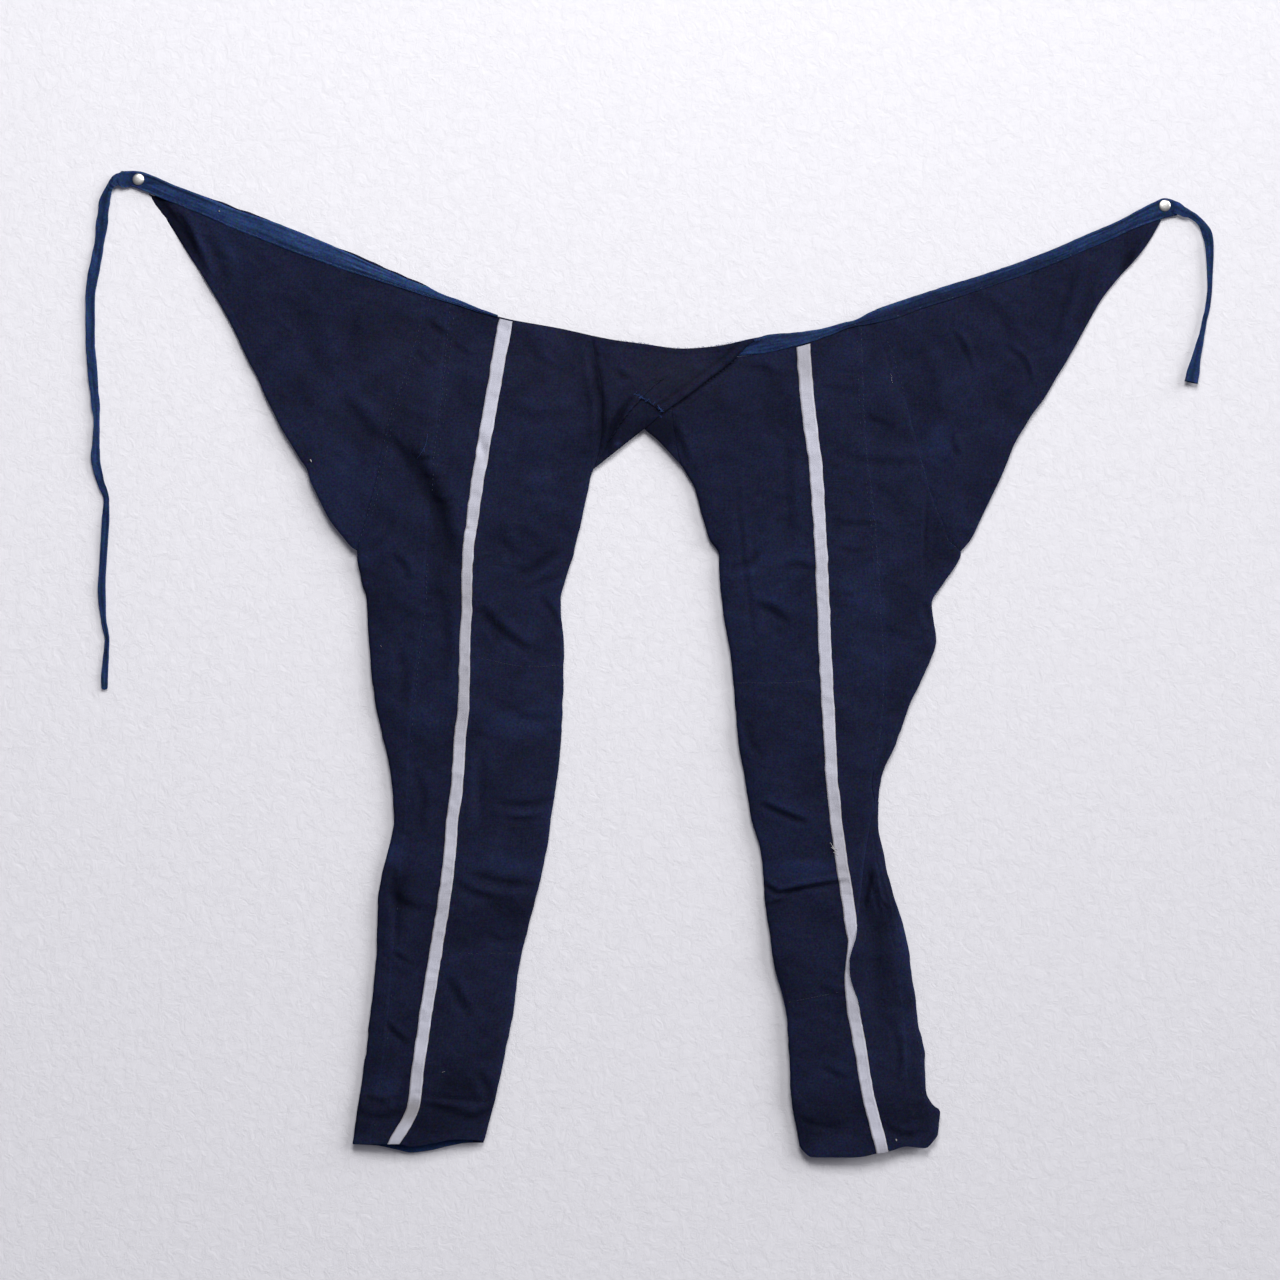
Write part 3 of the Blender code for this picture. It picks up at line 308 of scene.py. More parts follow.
def reading(places_and_values, at):
    """A smooth curve through pairs of place and value, which never overshoots them."""
    places, values = np.array(sorted(places_and_values), float).T
    at = np.clip(at, places[0], places[-1])
    gaps = np.diff(places)
    rises = np.diff(values) / gaps
    slopes = np.zeros(len(places))
    slopes[0], slopes[-1] = rises[0], rises[-1]
    before, after = rises[:-1], rises[1:]
    same = before * after > 0.0
    slopes[1:-1][same] = 2.0 * before[same] * after[same] / (before[same] + after[same])
    k = np.clip(np.searchsorted(places, at, side="right") - 1, 0, len(gaps) - 1)
    t = (at - places[k]) / gaps[k]
    start = values[k] * (1.0 + 2.0 * t) + slopes[k] * gaps[k] * t
    end = values[k + 1] * (3.0 - 2.0 * t) - slopes[k + 1] * gaps[k] * (1.0 - t)
    return start * (1.0 - t) ** 2 + end * t * t


def along(points, t, smooth=True):
    """The places a fraction t of the way along a line of points of x and z."""
    points = np.array(points, float)
    lengths = np.concatenate([[0.0], np.cumsum(np.hypot(*np.diff(points, axis=0).T))])
    reach = np.clip(t, 0.0, 1.0) * lengths[-1]
    if not smooth:
        return np.interp(reach, lengths, points[:, 0]), np.interp(reach, lengths, points[:, 1])
    return tuple(reading(list(zip(lengths, column)), reach) for column in points.T)


def rumple(x, z, pitch, seed):
    """A soft unevenness between about -1 and 1, with bumps of about this pitch."""
    draw = np.random.default_rng(seed)
    x = x + 0.35 * pitch * np.sin(z * 5.1 / pitch + seed)
    total = 0.0
    for _ in range(8):
        angle, stretch, phase = draw.uniform(0, math.pi), draw.uniform(0.75, 1.5), draw.uniform(0, 2 * math.pi)
        run = (x * math.cos(angle) + z * math.sin(angle)) / (pitch * stretch)
        total = total + np.sin(2 * math.pi * run + phase)
    return total / 3.0


def creased(x, z, creases):
    """How far a set of creases moves the cloth out (or, negative, in) at each place."""
    total = np.zeros_like(x)
    for depth, width, ridge, *line in creases:
        depth, width, ridge = depth / 1000, CREASE_WIDTH * width / 1000, ridge / 1000
        path = np.column_stack(along(pairs(*line), np.linspace(0.0, 1.0, 9)))
        low, high = path.min(0) - 4 * width, path.max(0) + 4 * width
        near = (x > low[0]) & (x < high[0]) & (z > low[1]) & (z < high[1])
        if not near.any():
            continue
        spot = np.column_stack((x[near], z[near]))
        best = np.full(len(spot), 1.0)
        side = np.zeros(len(spot))
        share = np.zeros(len(spot))
        for k, (a, b) in enumerate(zip(path, path[1:])):
            run = b - a
            t = np.clip((spot - a) @ run / (run @ run), 0.0, 1.0)
            gap = spot - (a + t[:, None] * run)
            far = np.hypot(gap[:, 0], gap[:, 1])
            closer = far < best
            best = np.where(closer, far, best)
            across = (run[0] * gap[:, 1] - run[1] * gap[:, 0]) / math.hypot(*run)
            side = np.where(closer, across, side)
            share = np.where(closer, (k + t) / (len(path) - 1), share)
        strength = np.sin(math.pi * share) ** 0.6
        beside = side * math.copysign(1.0, ridge) - 1.8 * width
        total[near] += strength * (abs(ridge) * hill(beside, 1.2 * width) - depth * hill(best, width))
    return total


def relief(x, z):
    """How far the cloth's face stands proud of its plain shape: its soft rumples and its creases."""
    soft = 0.00042 * rumple(x, z, 0.075, 3) + 0.00024 * rumple(x, z, 0.031, 5)
    fine = 0.00030 * (0.55 - np.abs(rumple(x, z, 0.026, 9))) + 0.00007 * rumple(x, z, 0.0105, 12)
    return soft + fine + CREASE_DEPTH * creased(x, z, CREASES)


class Leg:
    """One half of the trousers: its sections, the lines where its panels end, and the lie of its cloth."""

    def __init__(self, rows, offs, waist, hem, selvage, corner, fold=()):
        rows = [[value / 1000 for value in row] for row in rows]
        self.columns = {name: [(row[0], row[k]) for row in rows] for k, name in enumerate(LEG_COLUMNS)}
        self.columns["fold"] = list({**dict(self.columns["outer"]), **dict(fold)}.items())
        self.columns.update({name: pairs(*column) for name, column in offs.items()})
        self.top, self.bottom = rows[0][0], rows[-1][0]
        self.waist, self.hem, self.selvage, self.corner = waist, hem, selvage, corner
        self.outward = 1.0 if corner > rows[0][1] else -1.0

    def at(self, name, z):
        value = reading(self.columns[name], z)
        if name in UNEVEN:
            value = value + 0.00030 * rumple(0.0, z, 0.038, UNEVEN[name]) + 0.00012 * rumple(0.0, z, 0.013, 7)
        return value

    def line(self, name, aside=0.0):
        return lambda z: self.at(name, z) + aside

    def height(self, x, z, clear=GAP):
        """Where a level lies at x, with the waist and the hem as slanting as they are, and below the waist."""
        level = z + ease(1.0 - (self.top - z) / WAIST_REACH) * (reading(self.waist, x) - self.top)
        level = level + ease(1.0 - (z - self.bottom) / HEM_REACH) * (reading(self.hem, x) - self.bottom)
        across = np.clip((x - self.at("tape", z)) / (self.at("inner", z) - self.at("tape", z)), 0.0, 1.0)
        for seam_z, rise in self.selvage:
            level = level + rise * across * np.clip(1.0 - abs(z - seam_z) / SELVAGE_REACH, 0.0, 1.0)
        return np.minimum(level, reading(self.waist, x) - clear)

    def off(self, x, z):
        outer, inner = self.at("outer", z), self.at("inner", z)
        wing = mix(CORNER_OFF, self.at("outer_off", z), ease((x - self.corner) / (outer - self.corner)))
        s = np.clip((x - inner) / (self.at("fold", z) - inner), 0.0, 1.0)
        edge = mix(self.at("inner_off", z), self.at("outer_off", z), s)
        tube = edge + self.at("swell", z) * np.clip(np.sin(math.pi * s), 0.0, 1.0) ** 0.45
        return np.where((x - outer) * self.outward > 0.0, wing, tube)

    def face(self, x, z, proud=0.0):
        """The Y of the cloth's face, moved out in front of it by proud."""
        return -(self.off(x, z) + relief(x, z) + proud)


# Indigo dye, faded unevenly with use: bluer along edges and where knees and seat have worn, dull and
# almost black elsewhere, in a plain weave of slubby hand-spun yarn. Painted shade darkens it toward its
# deepest tone.
INDIGO_DEEP = (0.0050, 0.0060, 0.0160, 1.0)
INDIGO_MIDDLE = (0.0148, 0.0182, 0.0490, 1.0)
INDIGO_WORN = (0.0190, 0.0310, 0.0950, 1.0)
INDIGO_DUSTY = (0.0190, 0.0180, 0.0300, 1.0)
THREAD_PITCH = 0.0006


def weave(finish, pitch, strength):
    """Slubs in both directions along the cloth's own grain, and the bump of a plain weave."""
    grain = finish.add("UVMap", uv_map="grain").outputs["UV"]
    parts = finish.add("SeparateXYZ", {0: grain}).outputs
    over, under = (finish.calc("SINE", finish.calc("MULTIPLY", parts[axis], 2 * math.pi / pitch)) for axis in "XY")
    slubs = []
    for stretch in ((0.9 / pitch, 34.0, 1.0), (40.0, 0.8 / pitch, 1.0)):
        drawn = finish.add("Mapping", {"Vector": grain, "Scale": stretch}).outputs[0]
        slubs.append(finish.noise(1.0, 2.0, drawn))
    slub = finish.calc("ADD", *slubs)
    height = finish.calc("MULTIPLY_ADD", finish.calc("MULTIPLY", over, under), 0.35, slub)
    return slub, finish.bump(height, strength, 0.0004)


def dye(name, deep, middle, worn, dusty, patch, strength):
    """A dyed cotton: deep and middle tones in patches, worn and dusty ones where the cloth's marks say so, and painted
    shade toward the deep tone where the marks are negative.
    """
    finish = Finish(name)
    slub, normal = weave(finish, THREAD_PITCH, strength)
    broad = finish.noise(patch, 5.0, Roughness=0.62, Distortion=0.6)
    tone = finish.calc("MULTIPLY_ADD", broad, 0.62, 0.065)
    tone = finish.calc("MULTIPLY_ADD", slub, 0.28, tone)
    tone = finish.calc("MULTIPLY_ADD", finish.noise(620.0, 2.0, Roughness=0.7), 0.45, tone)
    rubbed_and_shaded = finish.mark("wear_and_shade")
    # Where the marks are negative the tone goes darker, toward the deep colour: painted shade.
    kept = finish.calc("MULTIPLY_ADD", finish.calc("MINIMUM", rubbed_and_shaded, 0.0), 0.50, tone)
    colour = finish.blend(finish.span(kept, "From", 0.60, 1.16), deep, middle)
    colour = finish.blend(finish.calc("MULTIPLY", rubbed_and_shaded, tone, use_clamp=True), colour, worn)
    colour = finish.blend(finish.mark("dust"), colour, dusty)
    speck = {0: finish.noise(540.0, 1.0, output="Color"), 1: (2.1, 1.9, 1.8), 2: (-0.05, 0.05, 0.10)}
    speck = finish.add("VectorMath", speck, operation="MULTIPLY_ADD").outputs[0]
    finish.feed(finish.shader, {
        "Base Color": finish.blend(1.0, colour, speck, blend_type="MULTIPLY"), "Normal": normal,
        "Roughness": finish.span(broad, "To", 0.85, 0.95), "Specular IOR Level": 0.05,
        "Sheen Weight": 0.012, "Sheen Roughness": 0.5, "Sheen Tint": (0.55, 0.62, 0.90, 1.0),
    })
    return finish.material


# Where the cloth has worn pale and, negative, where it is painted darker as shade: in folds, beside the
# flap's edge, in the twist of the right calf and in the torn gusset. The middle of each place, its reach
# across and down, and how much.
WORN_AND_SHADED_PLACES = (
    (368, -517, 34, 12, 0.4), (345, -650, 36, 12, 0.32), (241, -637, 10, 14, 0.45), (236, -862, 22, 12, 0.5),
    (300, -470, 50, 60, 0.12), (700, -740, 20, 60, 0.2), (760, -253, 14, 20, 0.4), (600, -620, 40, 50, 0.15),
    (655, -860, 60, 30, 0.15), (372, -270, 40, 40, 0.12), (590, -400, 40, 80, 0.18), (690, -430, 25, 70, 0.22),
    (80, -66, 30, 26, 0.22), (195, -290, 30, 50, 0.22), (350, -700, 50, 20, -0.45), (250, -682, 11, 18, -0.6),
    (706, -735, 16, 60, -0.45), (727, -705, 9, 38, 0.45), (696.2, -664, 2.2, 8, -0.5),
    (692.5, -682, 2.2, 10, -0.55), (696.5, -708, 13, 20, -0.3), (285, -888, 90, 22, -0.35),
    (228, -242, 14, 16, -0.25), (262, -275, 18, 26, -0.25), (287, -330, 12, 45, -0.4), (630, -655, 35, 7, 0.35),
    (455.6, -251.2, 2.6, 1.5, 1.6), (495, -219, 1.6, 2, -1), (433.5, -205, 11, 30, -0.6),
    (455, -246, 30, 18, -0.45), (496, -243, 22, 16, -0.6), (700, -888, 80, 22, -0.35), (940, -76, 8, 16, -0.45),
    (494, -237, 11, 7, -0.8), (500, -250, 10, 16, -0.35), (448, -250, 6, 14, -0.6), (459, -225, 5, 12, -0.5),
    (496, -219.5, 2.6, 2.2, -1), (500, -150, 60, 14, -0.2), (300, -860, 60, 20, -0.25),
)
DUSTY_PLACES = (
    (505, -186, 50, 30, 0.4), (395, -175, 40, 50, 0.14), (250, -170, 60, 60, 0.12),
)


def marked(x, z, places):
    total = np.zeros_like(x)
    for at_x, at_z, across, down, much in places:
        total += much * hill(1000 * x - at_x, across) * hill(1000 * z - at_z, down)
    return total


def cloth(name, across, down, where, material, wall=WALL, dusty=DUSTY_PLACES, rubbed_and_shaded=WORN_AND_SHADED_PLACES):
    """A sheet of cloth: a grid whose places come from where(u, v), with its thickness on the wall's side."""
    bm = bmesh.new()
    bmesh.ops.create_grid(bm, x_segments=across, y_segments=down, size=0.5)
    for edge in bm.edges:
        edge.smooth = not edge.is_boundary
    piece = built(name, bm, material)
    mesh = piece.data
    flat = np.empty(len(mesh.vertices) * 3)
    mesh.vertices.foreach_get("co", flat)
    x, y, z, rub_and_shade, grain = where(flat[0::3] + 0.5, 0.5 - flat[1::3])
    mesh.vertices.foreach_set("co", np.column_stack((x, y, z)).ravel())
    # The first mark is worn paleness, with painted shade where it is below zero; the second is dust.
    for key, values, least in (("wear_and_shade", rub_and_shade + marked(x, z, rubbed_and_shaded), -1.0), ("dust", marked(x, z, dusty), 0.0)):
        mesh.attributes.new(key, "FLOAT", "POINT").data.foreach_set("value", np.clip(values, least, 1.0))
    corners = np.empty(len(mesh.loops), np.int32)
    mesh.loops.foreach_get("vertex_index", corners)
    mesh.uv_layers.new(name="grain").data.foreach_set("uv", np.column_stack(grain)[corners].ravel())
    mesh.update()
    if wall:
        thick = piece.modifiers.new("thickness", "SOLIDIFY")
        thick.thickness = wall
        thick.offset = -1.0
    return piece


def hang(piece, node):
    """Fixes a sheet of cloth on the trousers in place of its plain solid."""
    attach(piece, "root")
    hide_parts(node)


def gathered(leg, x, z, ripple, reach):
    """How the cloth draws back and puckers along the gathered waist."""
    gap = np.abs(reading(leg.waist, x) - z)
    return 0.0004 * hill(gap, 0.002) + ripple * rumple(x, 0.0, 0.012, 62) * fade(gap, reach)


def hemmed(leg, x, z):
    """How far each place is from the leg's hem, and how its turning stands out and rolls in."""
    gap = np.clip(z - reading(leg.hem, x), 0.0, 1.0)
    return gap, 0.0006 * curl(gap, 0.002) - 0.0004 * ease((HEM_DEEP - gap) / 0.004)


def panel(name, leg, left, right, high, low, fold_below, lift=None):
    """A panel down a leg between two lines. Each side is a seam, and below its own height a fold."""
    levels = np.linspace(high, low, 40)
    across = max(6, round(float(np.max(right(levels) - left(levels))) / PITCH))

    def where(u, v):
        level = mix(high - SEAM_GAP, low + SEAM_GAP, v)
        x = mix(left(level), right(level), crowd(u))
        z = leg.height(x, level)
        y = leg.face(x, z)
        if lift is not None:
            y -= lift(x, z)
        # Painted shade in the troughs of the creases, paler where the cloth stands proud.
        rub_and_shade = CREASE_SHADE_AND_WEAR * relief(x, z)
        for fold, gap in zip(fold_below, (x - left(level), right(level) - x)):
            folded = ease((fold - level) / 0.012 + 1.0)
            sewn = 1.0 - folded
            pucker = 0.00014 * rumple(0.0, z, 0.010, 61) * fade(gap, 0.006)
            y += folded * 0.0013 * curl(gap, 0.003) + sewn * (0.00022 * hill(gap, 0.0013) + pucker)
            rub_and_shade += folded * 0.30 * fade(gap, 0.0025) + sewn * 0.12 * hill(gap - 0.0012, 0.0018)
        hem_gap, hem = hemmed(leg, x, z)
        y += gathered(leg, x, z, 0.0002, 0.009) + hem
        rub_and_shade += 0.22 * fade(hem_gap, 0.004)
        for seam_z, _ in leg.selvage:
            if min(abs(high - seam_z), abs(low - seam_z)) < 0.001:
                y += 0.00012 * hill(level - seam_z, 0.0014)
                rub_and_shade += 0.10 * hill(level - seam_z, 0.0020)
        return x, y, z, rub_and_shade, (x - leg.at("tape", level), z)

    return cloth(name, across, round((high - low) / PITCH), where, indigo)


def inner_front(side, leg, left, right, fold_below, cuts):
    """The three lengths of a leg's inner front; the flat size and area given for each in cuts are not used."""
    breaks = (leg.top, *(z for z, _ in leg.selvage), leg.bottom)
    for part, (flat, area), high, low in zip(("upper", "middle", "lower"), cuts, breaks, breaks[1:]):
        piece = panel(f"{side}_inner_front_{part}", leg, left, right, high, low, fold_below)
        hang(piece, f"inner_front_{part}_{side}")


ALWAYS = 1.0
NEVER = -2.0
CROTCH = -0.277
FORK_LEFT = -0.354
indigo = dye("indigo cotton", INDIGO_DEEP, INDIGO_MIDDLE, INDIGO_WORN, INDIGO_DUSTY, 26.0, 0.35)
left = Leg(LEG_LEFT, OFFS_LEFT, WAIST_LEFT, HEM_LEFT, SELVAGE_LEFT, WING_CORNER_LEFT)

edges = [left.line(name) for name in ("outer", "seam", "tape", "inner")]
piece = panel("left_side_gusset", left, *edges[:2], left.top, left.bottom, (FORK_LEFT, NEVER))
hang(piece, "side_gusset_left")
piece = panel("left_outer_front", left, *edges[1:3], left.top, left.bottom, (NEVER, NEVER))
hang(piece, "outer_front_left")
INNER_LEFT = (((0.114, 0.335), 0.0330), ((0.098, 0.285), 0.0258), ((0.090, 0.190), 0.0150))
inner_front("left", left, *edges[2:], (NEVER, CROTCH), INNER_LEFT)


# The left wing: the three-cornered front corner of the same cloth, sewn to the leg along its slanting seam
# and gathered under the band, with a narrow hem turned along its free edge.
WING_EDGE_LEFT = pairs(
    9.8, -16, 26.6, -39, 39, -58, 51.3, -77, 63.7, -96, 75.1, -115, 86, -134, 104.5, -172, 114, -191, 122.6, -210,
    132.1, -229, 142.5, -248, 154.5, -267, 160.6, -276, 164, -287, 172.2, -305, 182.2, -324, 196.6, -342.5,
    202, -349, 208, -356,
)
HEM_TURN = 0.0068
# Where the left wing's free edge turns back toward the wall: the strip beyond it drops back, and is painted darker as
# shade.
TURNED_LEFT = pairs(
    30, -22, 39, -35, 52.2, -55.1, 63.7, -87.4, 75.1, -110.2,
)
TURNED_DROP = 0.0032
SEAM_LAP = 0.0014


def far_from(x, z, path):
    """How far each place is from a line of points."""
    gap = np.full_like(x, 1.0)
    path = np.array(path)
    for a, b in zip(path, path[1:]):
        run = b - a
        t = np.clip(((x - a[0]) * run[0] + (z - a[1]) * run[1]) / (run @ run), 0.0, 1.0)
        gap = np.minimum(gap, np.hypot(x - a[0] - t * run[0], z - a[1] - t * run[1]))
    return gap


def spot_at(edge, t):
    """One place on an edge."""
    return tuple(float(value[0]) for value in edge(np.array([t])))


def seam_down(leg, name, aside, low):
    """The edge along one of a leg's lines, from its top down to a level."""

    def spot(t):
        level = mix(leg.top, low, t)
        x = leg.at(name, level) + aside
        return x, leg.height(x, level)

    return spot


def quilt(name, across, down, top, bottom, left_side, right_side, shape):
    """A four-sided sheet filled in between its edges, each of which is a function from 0 to 1."""

    def where(u, v):
        sides = [np.array(edge(t)) for edge, t in ((top, u), (bottom, u), (left_side, v), (right_side, v))]
        ends = [np.array(edge(np.full_like(u, t))) for edge in (top, bottom) for t in (0.0, 1.0)]
        spot = (1 - v) * sides[0] + v * sides[1] + (1 - u) * sides[2] + u * sides[3]
        spot = spot - (1 - u) * (1 - v) * ends[0] - u * (1 - v) * ends[1] - (1 - u) * v * ends[2] - u * v * ends[3]
        x, z = spot
        y, rub_and_shade = shape(x, z)
        return x, y, z, rub_and_shade, (x, z)

    return cloth(name, across, down, where, indigo)


def wing(name, leg, edge, fork, turned=()):
    """The sheet between the band, the wing seam and the free edge."""
    corner = edge[0]
    seam_top = float(leg.at("outer", leg.top))
    waist = sorted(leg.waist, key=lambda spot: abs(spot[0] - corner[0]))
    waist = [spot for spot in waist if (spot[0] - seam_top) * leg.outward > 0.001]
    seam_top = seam_top - leg.outward * SEAM_LAP
    top_line = waist + [(seam_top, float(reading(leg.waist, seam_top)))]
    seam = seam_down(leg, "outer", -leg.outward * SEAM_LAP, fork)
    free_line = edge[:-1] + (spot_at(seam, 1.0),)

    def top(t):
        x, z = along(top_line, t, smooth=False)
        return x, z - GAP

    def free(t):
        x, z = along(free_line, t)
        return x + leg.outward * 0.0003 * rumple(0.0, z, 0.045, 55) * np.sin(math.pi * t), z

    def tip(t):
        return mix(top_line[0][0], corner[0], t), mix(top_line[0][1] - GAP, corner[1], t)

    rim = np.column_stack(free(np.linspace(0.0, 1.0, 200)))

    def shape(x, z):
        gap = far_from(x, z, rim)
        seam_gap = (x - leg.at("outer", z)) * leg.outward
        y = leg.face(x, z) + 0.0009 * curl(gap, 0.0024) - 0.00015 * ease((HEM_TURN - gap) / 0.0012)
        y += 0.00010 * hill(gap - HEM_TURN - 0.0006, 0.0011) + (WALL + 0.0001) * ease(1.0 - seam_gap / 0.0008)
        y += gathered(leg, x, z, 0.00025, 0.010)
        # Painted shade in the troughs of the creases and paler where the cloth stands proud; paler still along the free
        # edge and beside the seam.
        rub_and_shade = CREASE_SHADE_AND_WEAR * relief(x, z) + 0.22 * fade(gap, 0.0018) + 0.12 * hill(seam_gap - 0.0018, 0.0016)
        if turned:
            past = (x - reading([(b, a) for a, b in turned], z)) * leg.outward
            share = ease((z - turned[-1][1]) / (turned[0][1] - turned[-1][1]))
            y += TURNED_DROP * share * ease(past / 0.010) + 0.0009 * share * hill(past, 0.0016)
            # Painted shade on the strip beyond the turn, which slopes back toward the wall.
            rub_and_shade -= 0.62 * np.minimum(1.0, 1.6 * share) * ease(past / 0.0018 + 0.5)
        return y, rub_and_shade

    across = round(abs(seam_top - corner[0]) / (PITCH * 0.95))
    down = round((leg.top - fork) / (PITCH * 0.95))
    if leg.outward < 0:
        return quilt(name, across, down, top, free, tip, seam, shape)
    return quilt(name, across, down, lambda t: top(1.0 - t), lambda t: free(1.0 - t), seam, tip, shape)


piece = wing("left_wing", left, WING_EDGE_LEFT, FORK_LEFT, TURNED_LEFT)
hang(piece, "wing_left")


# The right leg's front. The same panels, mirrored, but here the leg is twisted below the knee: the outer
# panel and its gusset are turned over, and come forward again in front of the tape's edge.
LEG_RIGHT = (
    (-158, 507, 632, 13, 688, 706), (-191, 506, 634, 13, 689, 720), (-229, 508.5, 638, 13, 691, 734),
    (-267, 515, 643, 12.6, 694, 745), (-293, 528.3, 645, 12.4, 697, 752), (-324, 537.2, 647, 12, 701, 764),
    (-343, 543.5, 648, 12, 702, 771), (-355, 551.2, 649, 12, 703, 782.2), (-381, 552.8, 650, 12, 705, 768),
    (-403, 555, 651, 12, 706, 754.5), (-438, 560.5, 652, 12, 708, 758.5), (-457, 564, 653, 12, 709, 753),
    (-476, 565.5, 654, 12, 709, 745), (-495, 567.5, 655, 12, 709, 735.5), (-533, 570, 657, 11.6, 705, 721.6),
    (-571, 577, 659, 11.6, 698, 706.6), (-590, 580, 661, 11.6, 696, 704.6), (-609, 583, 663, 11.6, 697, 703.5),
    (-647, 593, 668, 11.6, 702, 709.8), (-685, 595.5, 674, 11.6, 709, 719.7), (-708, 598.8, 677, 11.6, 714, 727),
    (-725, 601.3, 680, 11.6, 717, 731), (-745, 605, 677.8, 11.6, 721, 734.2), (-761, 610.5, 677, 11.8, 724, 736.3),
    (-780, 615, 678.5, 12, 726, 739.2), (-799, 616.8, 681.3, 12.2, 729, 741.2), (-837, 619, 688, 11.8, 731, 748.2),
    (-866, 619.8, 692.3, 11.6, 733, 749), (-903, 623.5, 701.5, 11.6, 739, 762.5), (-927, 629, 707, 11.6, 743, 760),
)
OFFS_RIGHT = {
    "inner_off": (
        -158, 7.8, -191, 7.8, -229, 7.6, -267, 7, -293, 6.7, -708, 6.7, -725, 8, -745, 9, -866, 9, -903, 6.7,
        -927, 6.7,
    ),
    "outer_off": (
        -158, 9, -191, 9, -229, 8.8, -267, 8, -293, 7, -324, 5.6, -343, 5.2, -355, 5, -381, 5.5, -403, 6,
        -438, 6.7, -927, 6.7,
    ),
    "swell": (
        -158, 2, -191, 2.5, -229, 3.5, -267, 4.5, -293, 5.8, -324, 7, -343, 7.3, -355, 7.5, -495, 7.5, -533, 7.2,
        -571, 7, -708, 7, -725, 6.5, -745, 6, -866, 6, -903, 7, -927, 6.8,
    ),
}
FOLD_RIGHT = pairs(
    -293, 751, -324, 752, -343, 752, -355, 751, -381, 753, -403, 753,
)
WAIST_RIGHT = pairs(
    507, -169, 567, -169, 594, -165, 632, -156, 662, -146.2, 673, -141.2, 682, -139, 692, -137.8, 717, -132.2,
    743, -123, 774, -113.5, 818, -98.5, 863.6, -82.2, 909.2, -62.8, 943.4, -48, 970, -37.2,
)
HEM_RIGHT = pairs(
    625, -913, 632, -923.5, 640, -929, 677, -929, 688, -928.2, 700, -925.5, 713, -923.3, 730, -918.7, 748, -920.5,
    757, -912.5, 763, -904,
)
SELVAGE_RIGHT = ((-0.4765, -0.0025), (-0.7740, -0.0095))
WING_CORNER_RIGHT = 0.976
FORK_RIGHT = -0.355
KNEE_FOLD = pairs(
    -571, 706.6, -590, 702, -605, 697.5, -656, 689, -682, 686.4, -700, 684.4, -712, 683,
)
KNEE_TOP = KNEE_FOLD[0][0]
KNEE_END = KNEE_FOLD[-1][0]

# The turned-over calf: its height, its left edge, where it lies flat, and how far it stands out.
CALF = (
    (-592, 692, 700.5, -2), (-610, 689, 699, -2.2), (-656, 680, 690.5, -2.8), (-680, 678.5, 689, -3.2),
    (-692, 678, 688, -3.2), (-700, 679, 688, -2.4), (-706, 680.8, 687.6, -1.2), (-712, 682.6, 687.2, 1.4),
    (-720, 681.6, 686.8, 2.3), (-730, 678.4, 686.2, 2.6), (-742, 675.6, 685.2, 2.6), (-753, 675.8, 685.2, 2.6),
    (-766, 678.8, 685.8, 2.5), (-780, 683.8, 687.5, 2.2), (-795, 686.8, 690, 1.6), (-812, 689.5, 693, 0.8),
    (-835, 694, 697, 0),
)
CALF_TOP = CALF[0][0] / 1000
CALF_END = CALF[-1][0] / 1000
CALF_BESIDE = -0.785
CALF_FADE = 0.014
GUSSET_END = -0.600
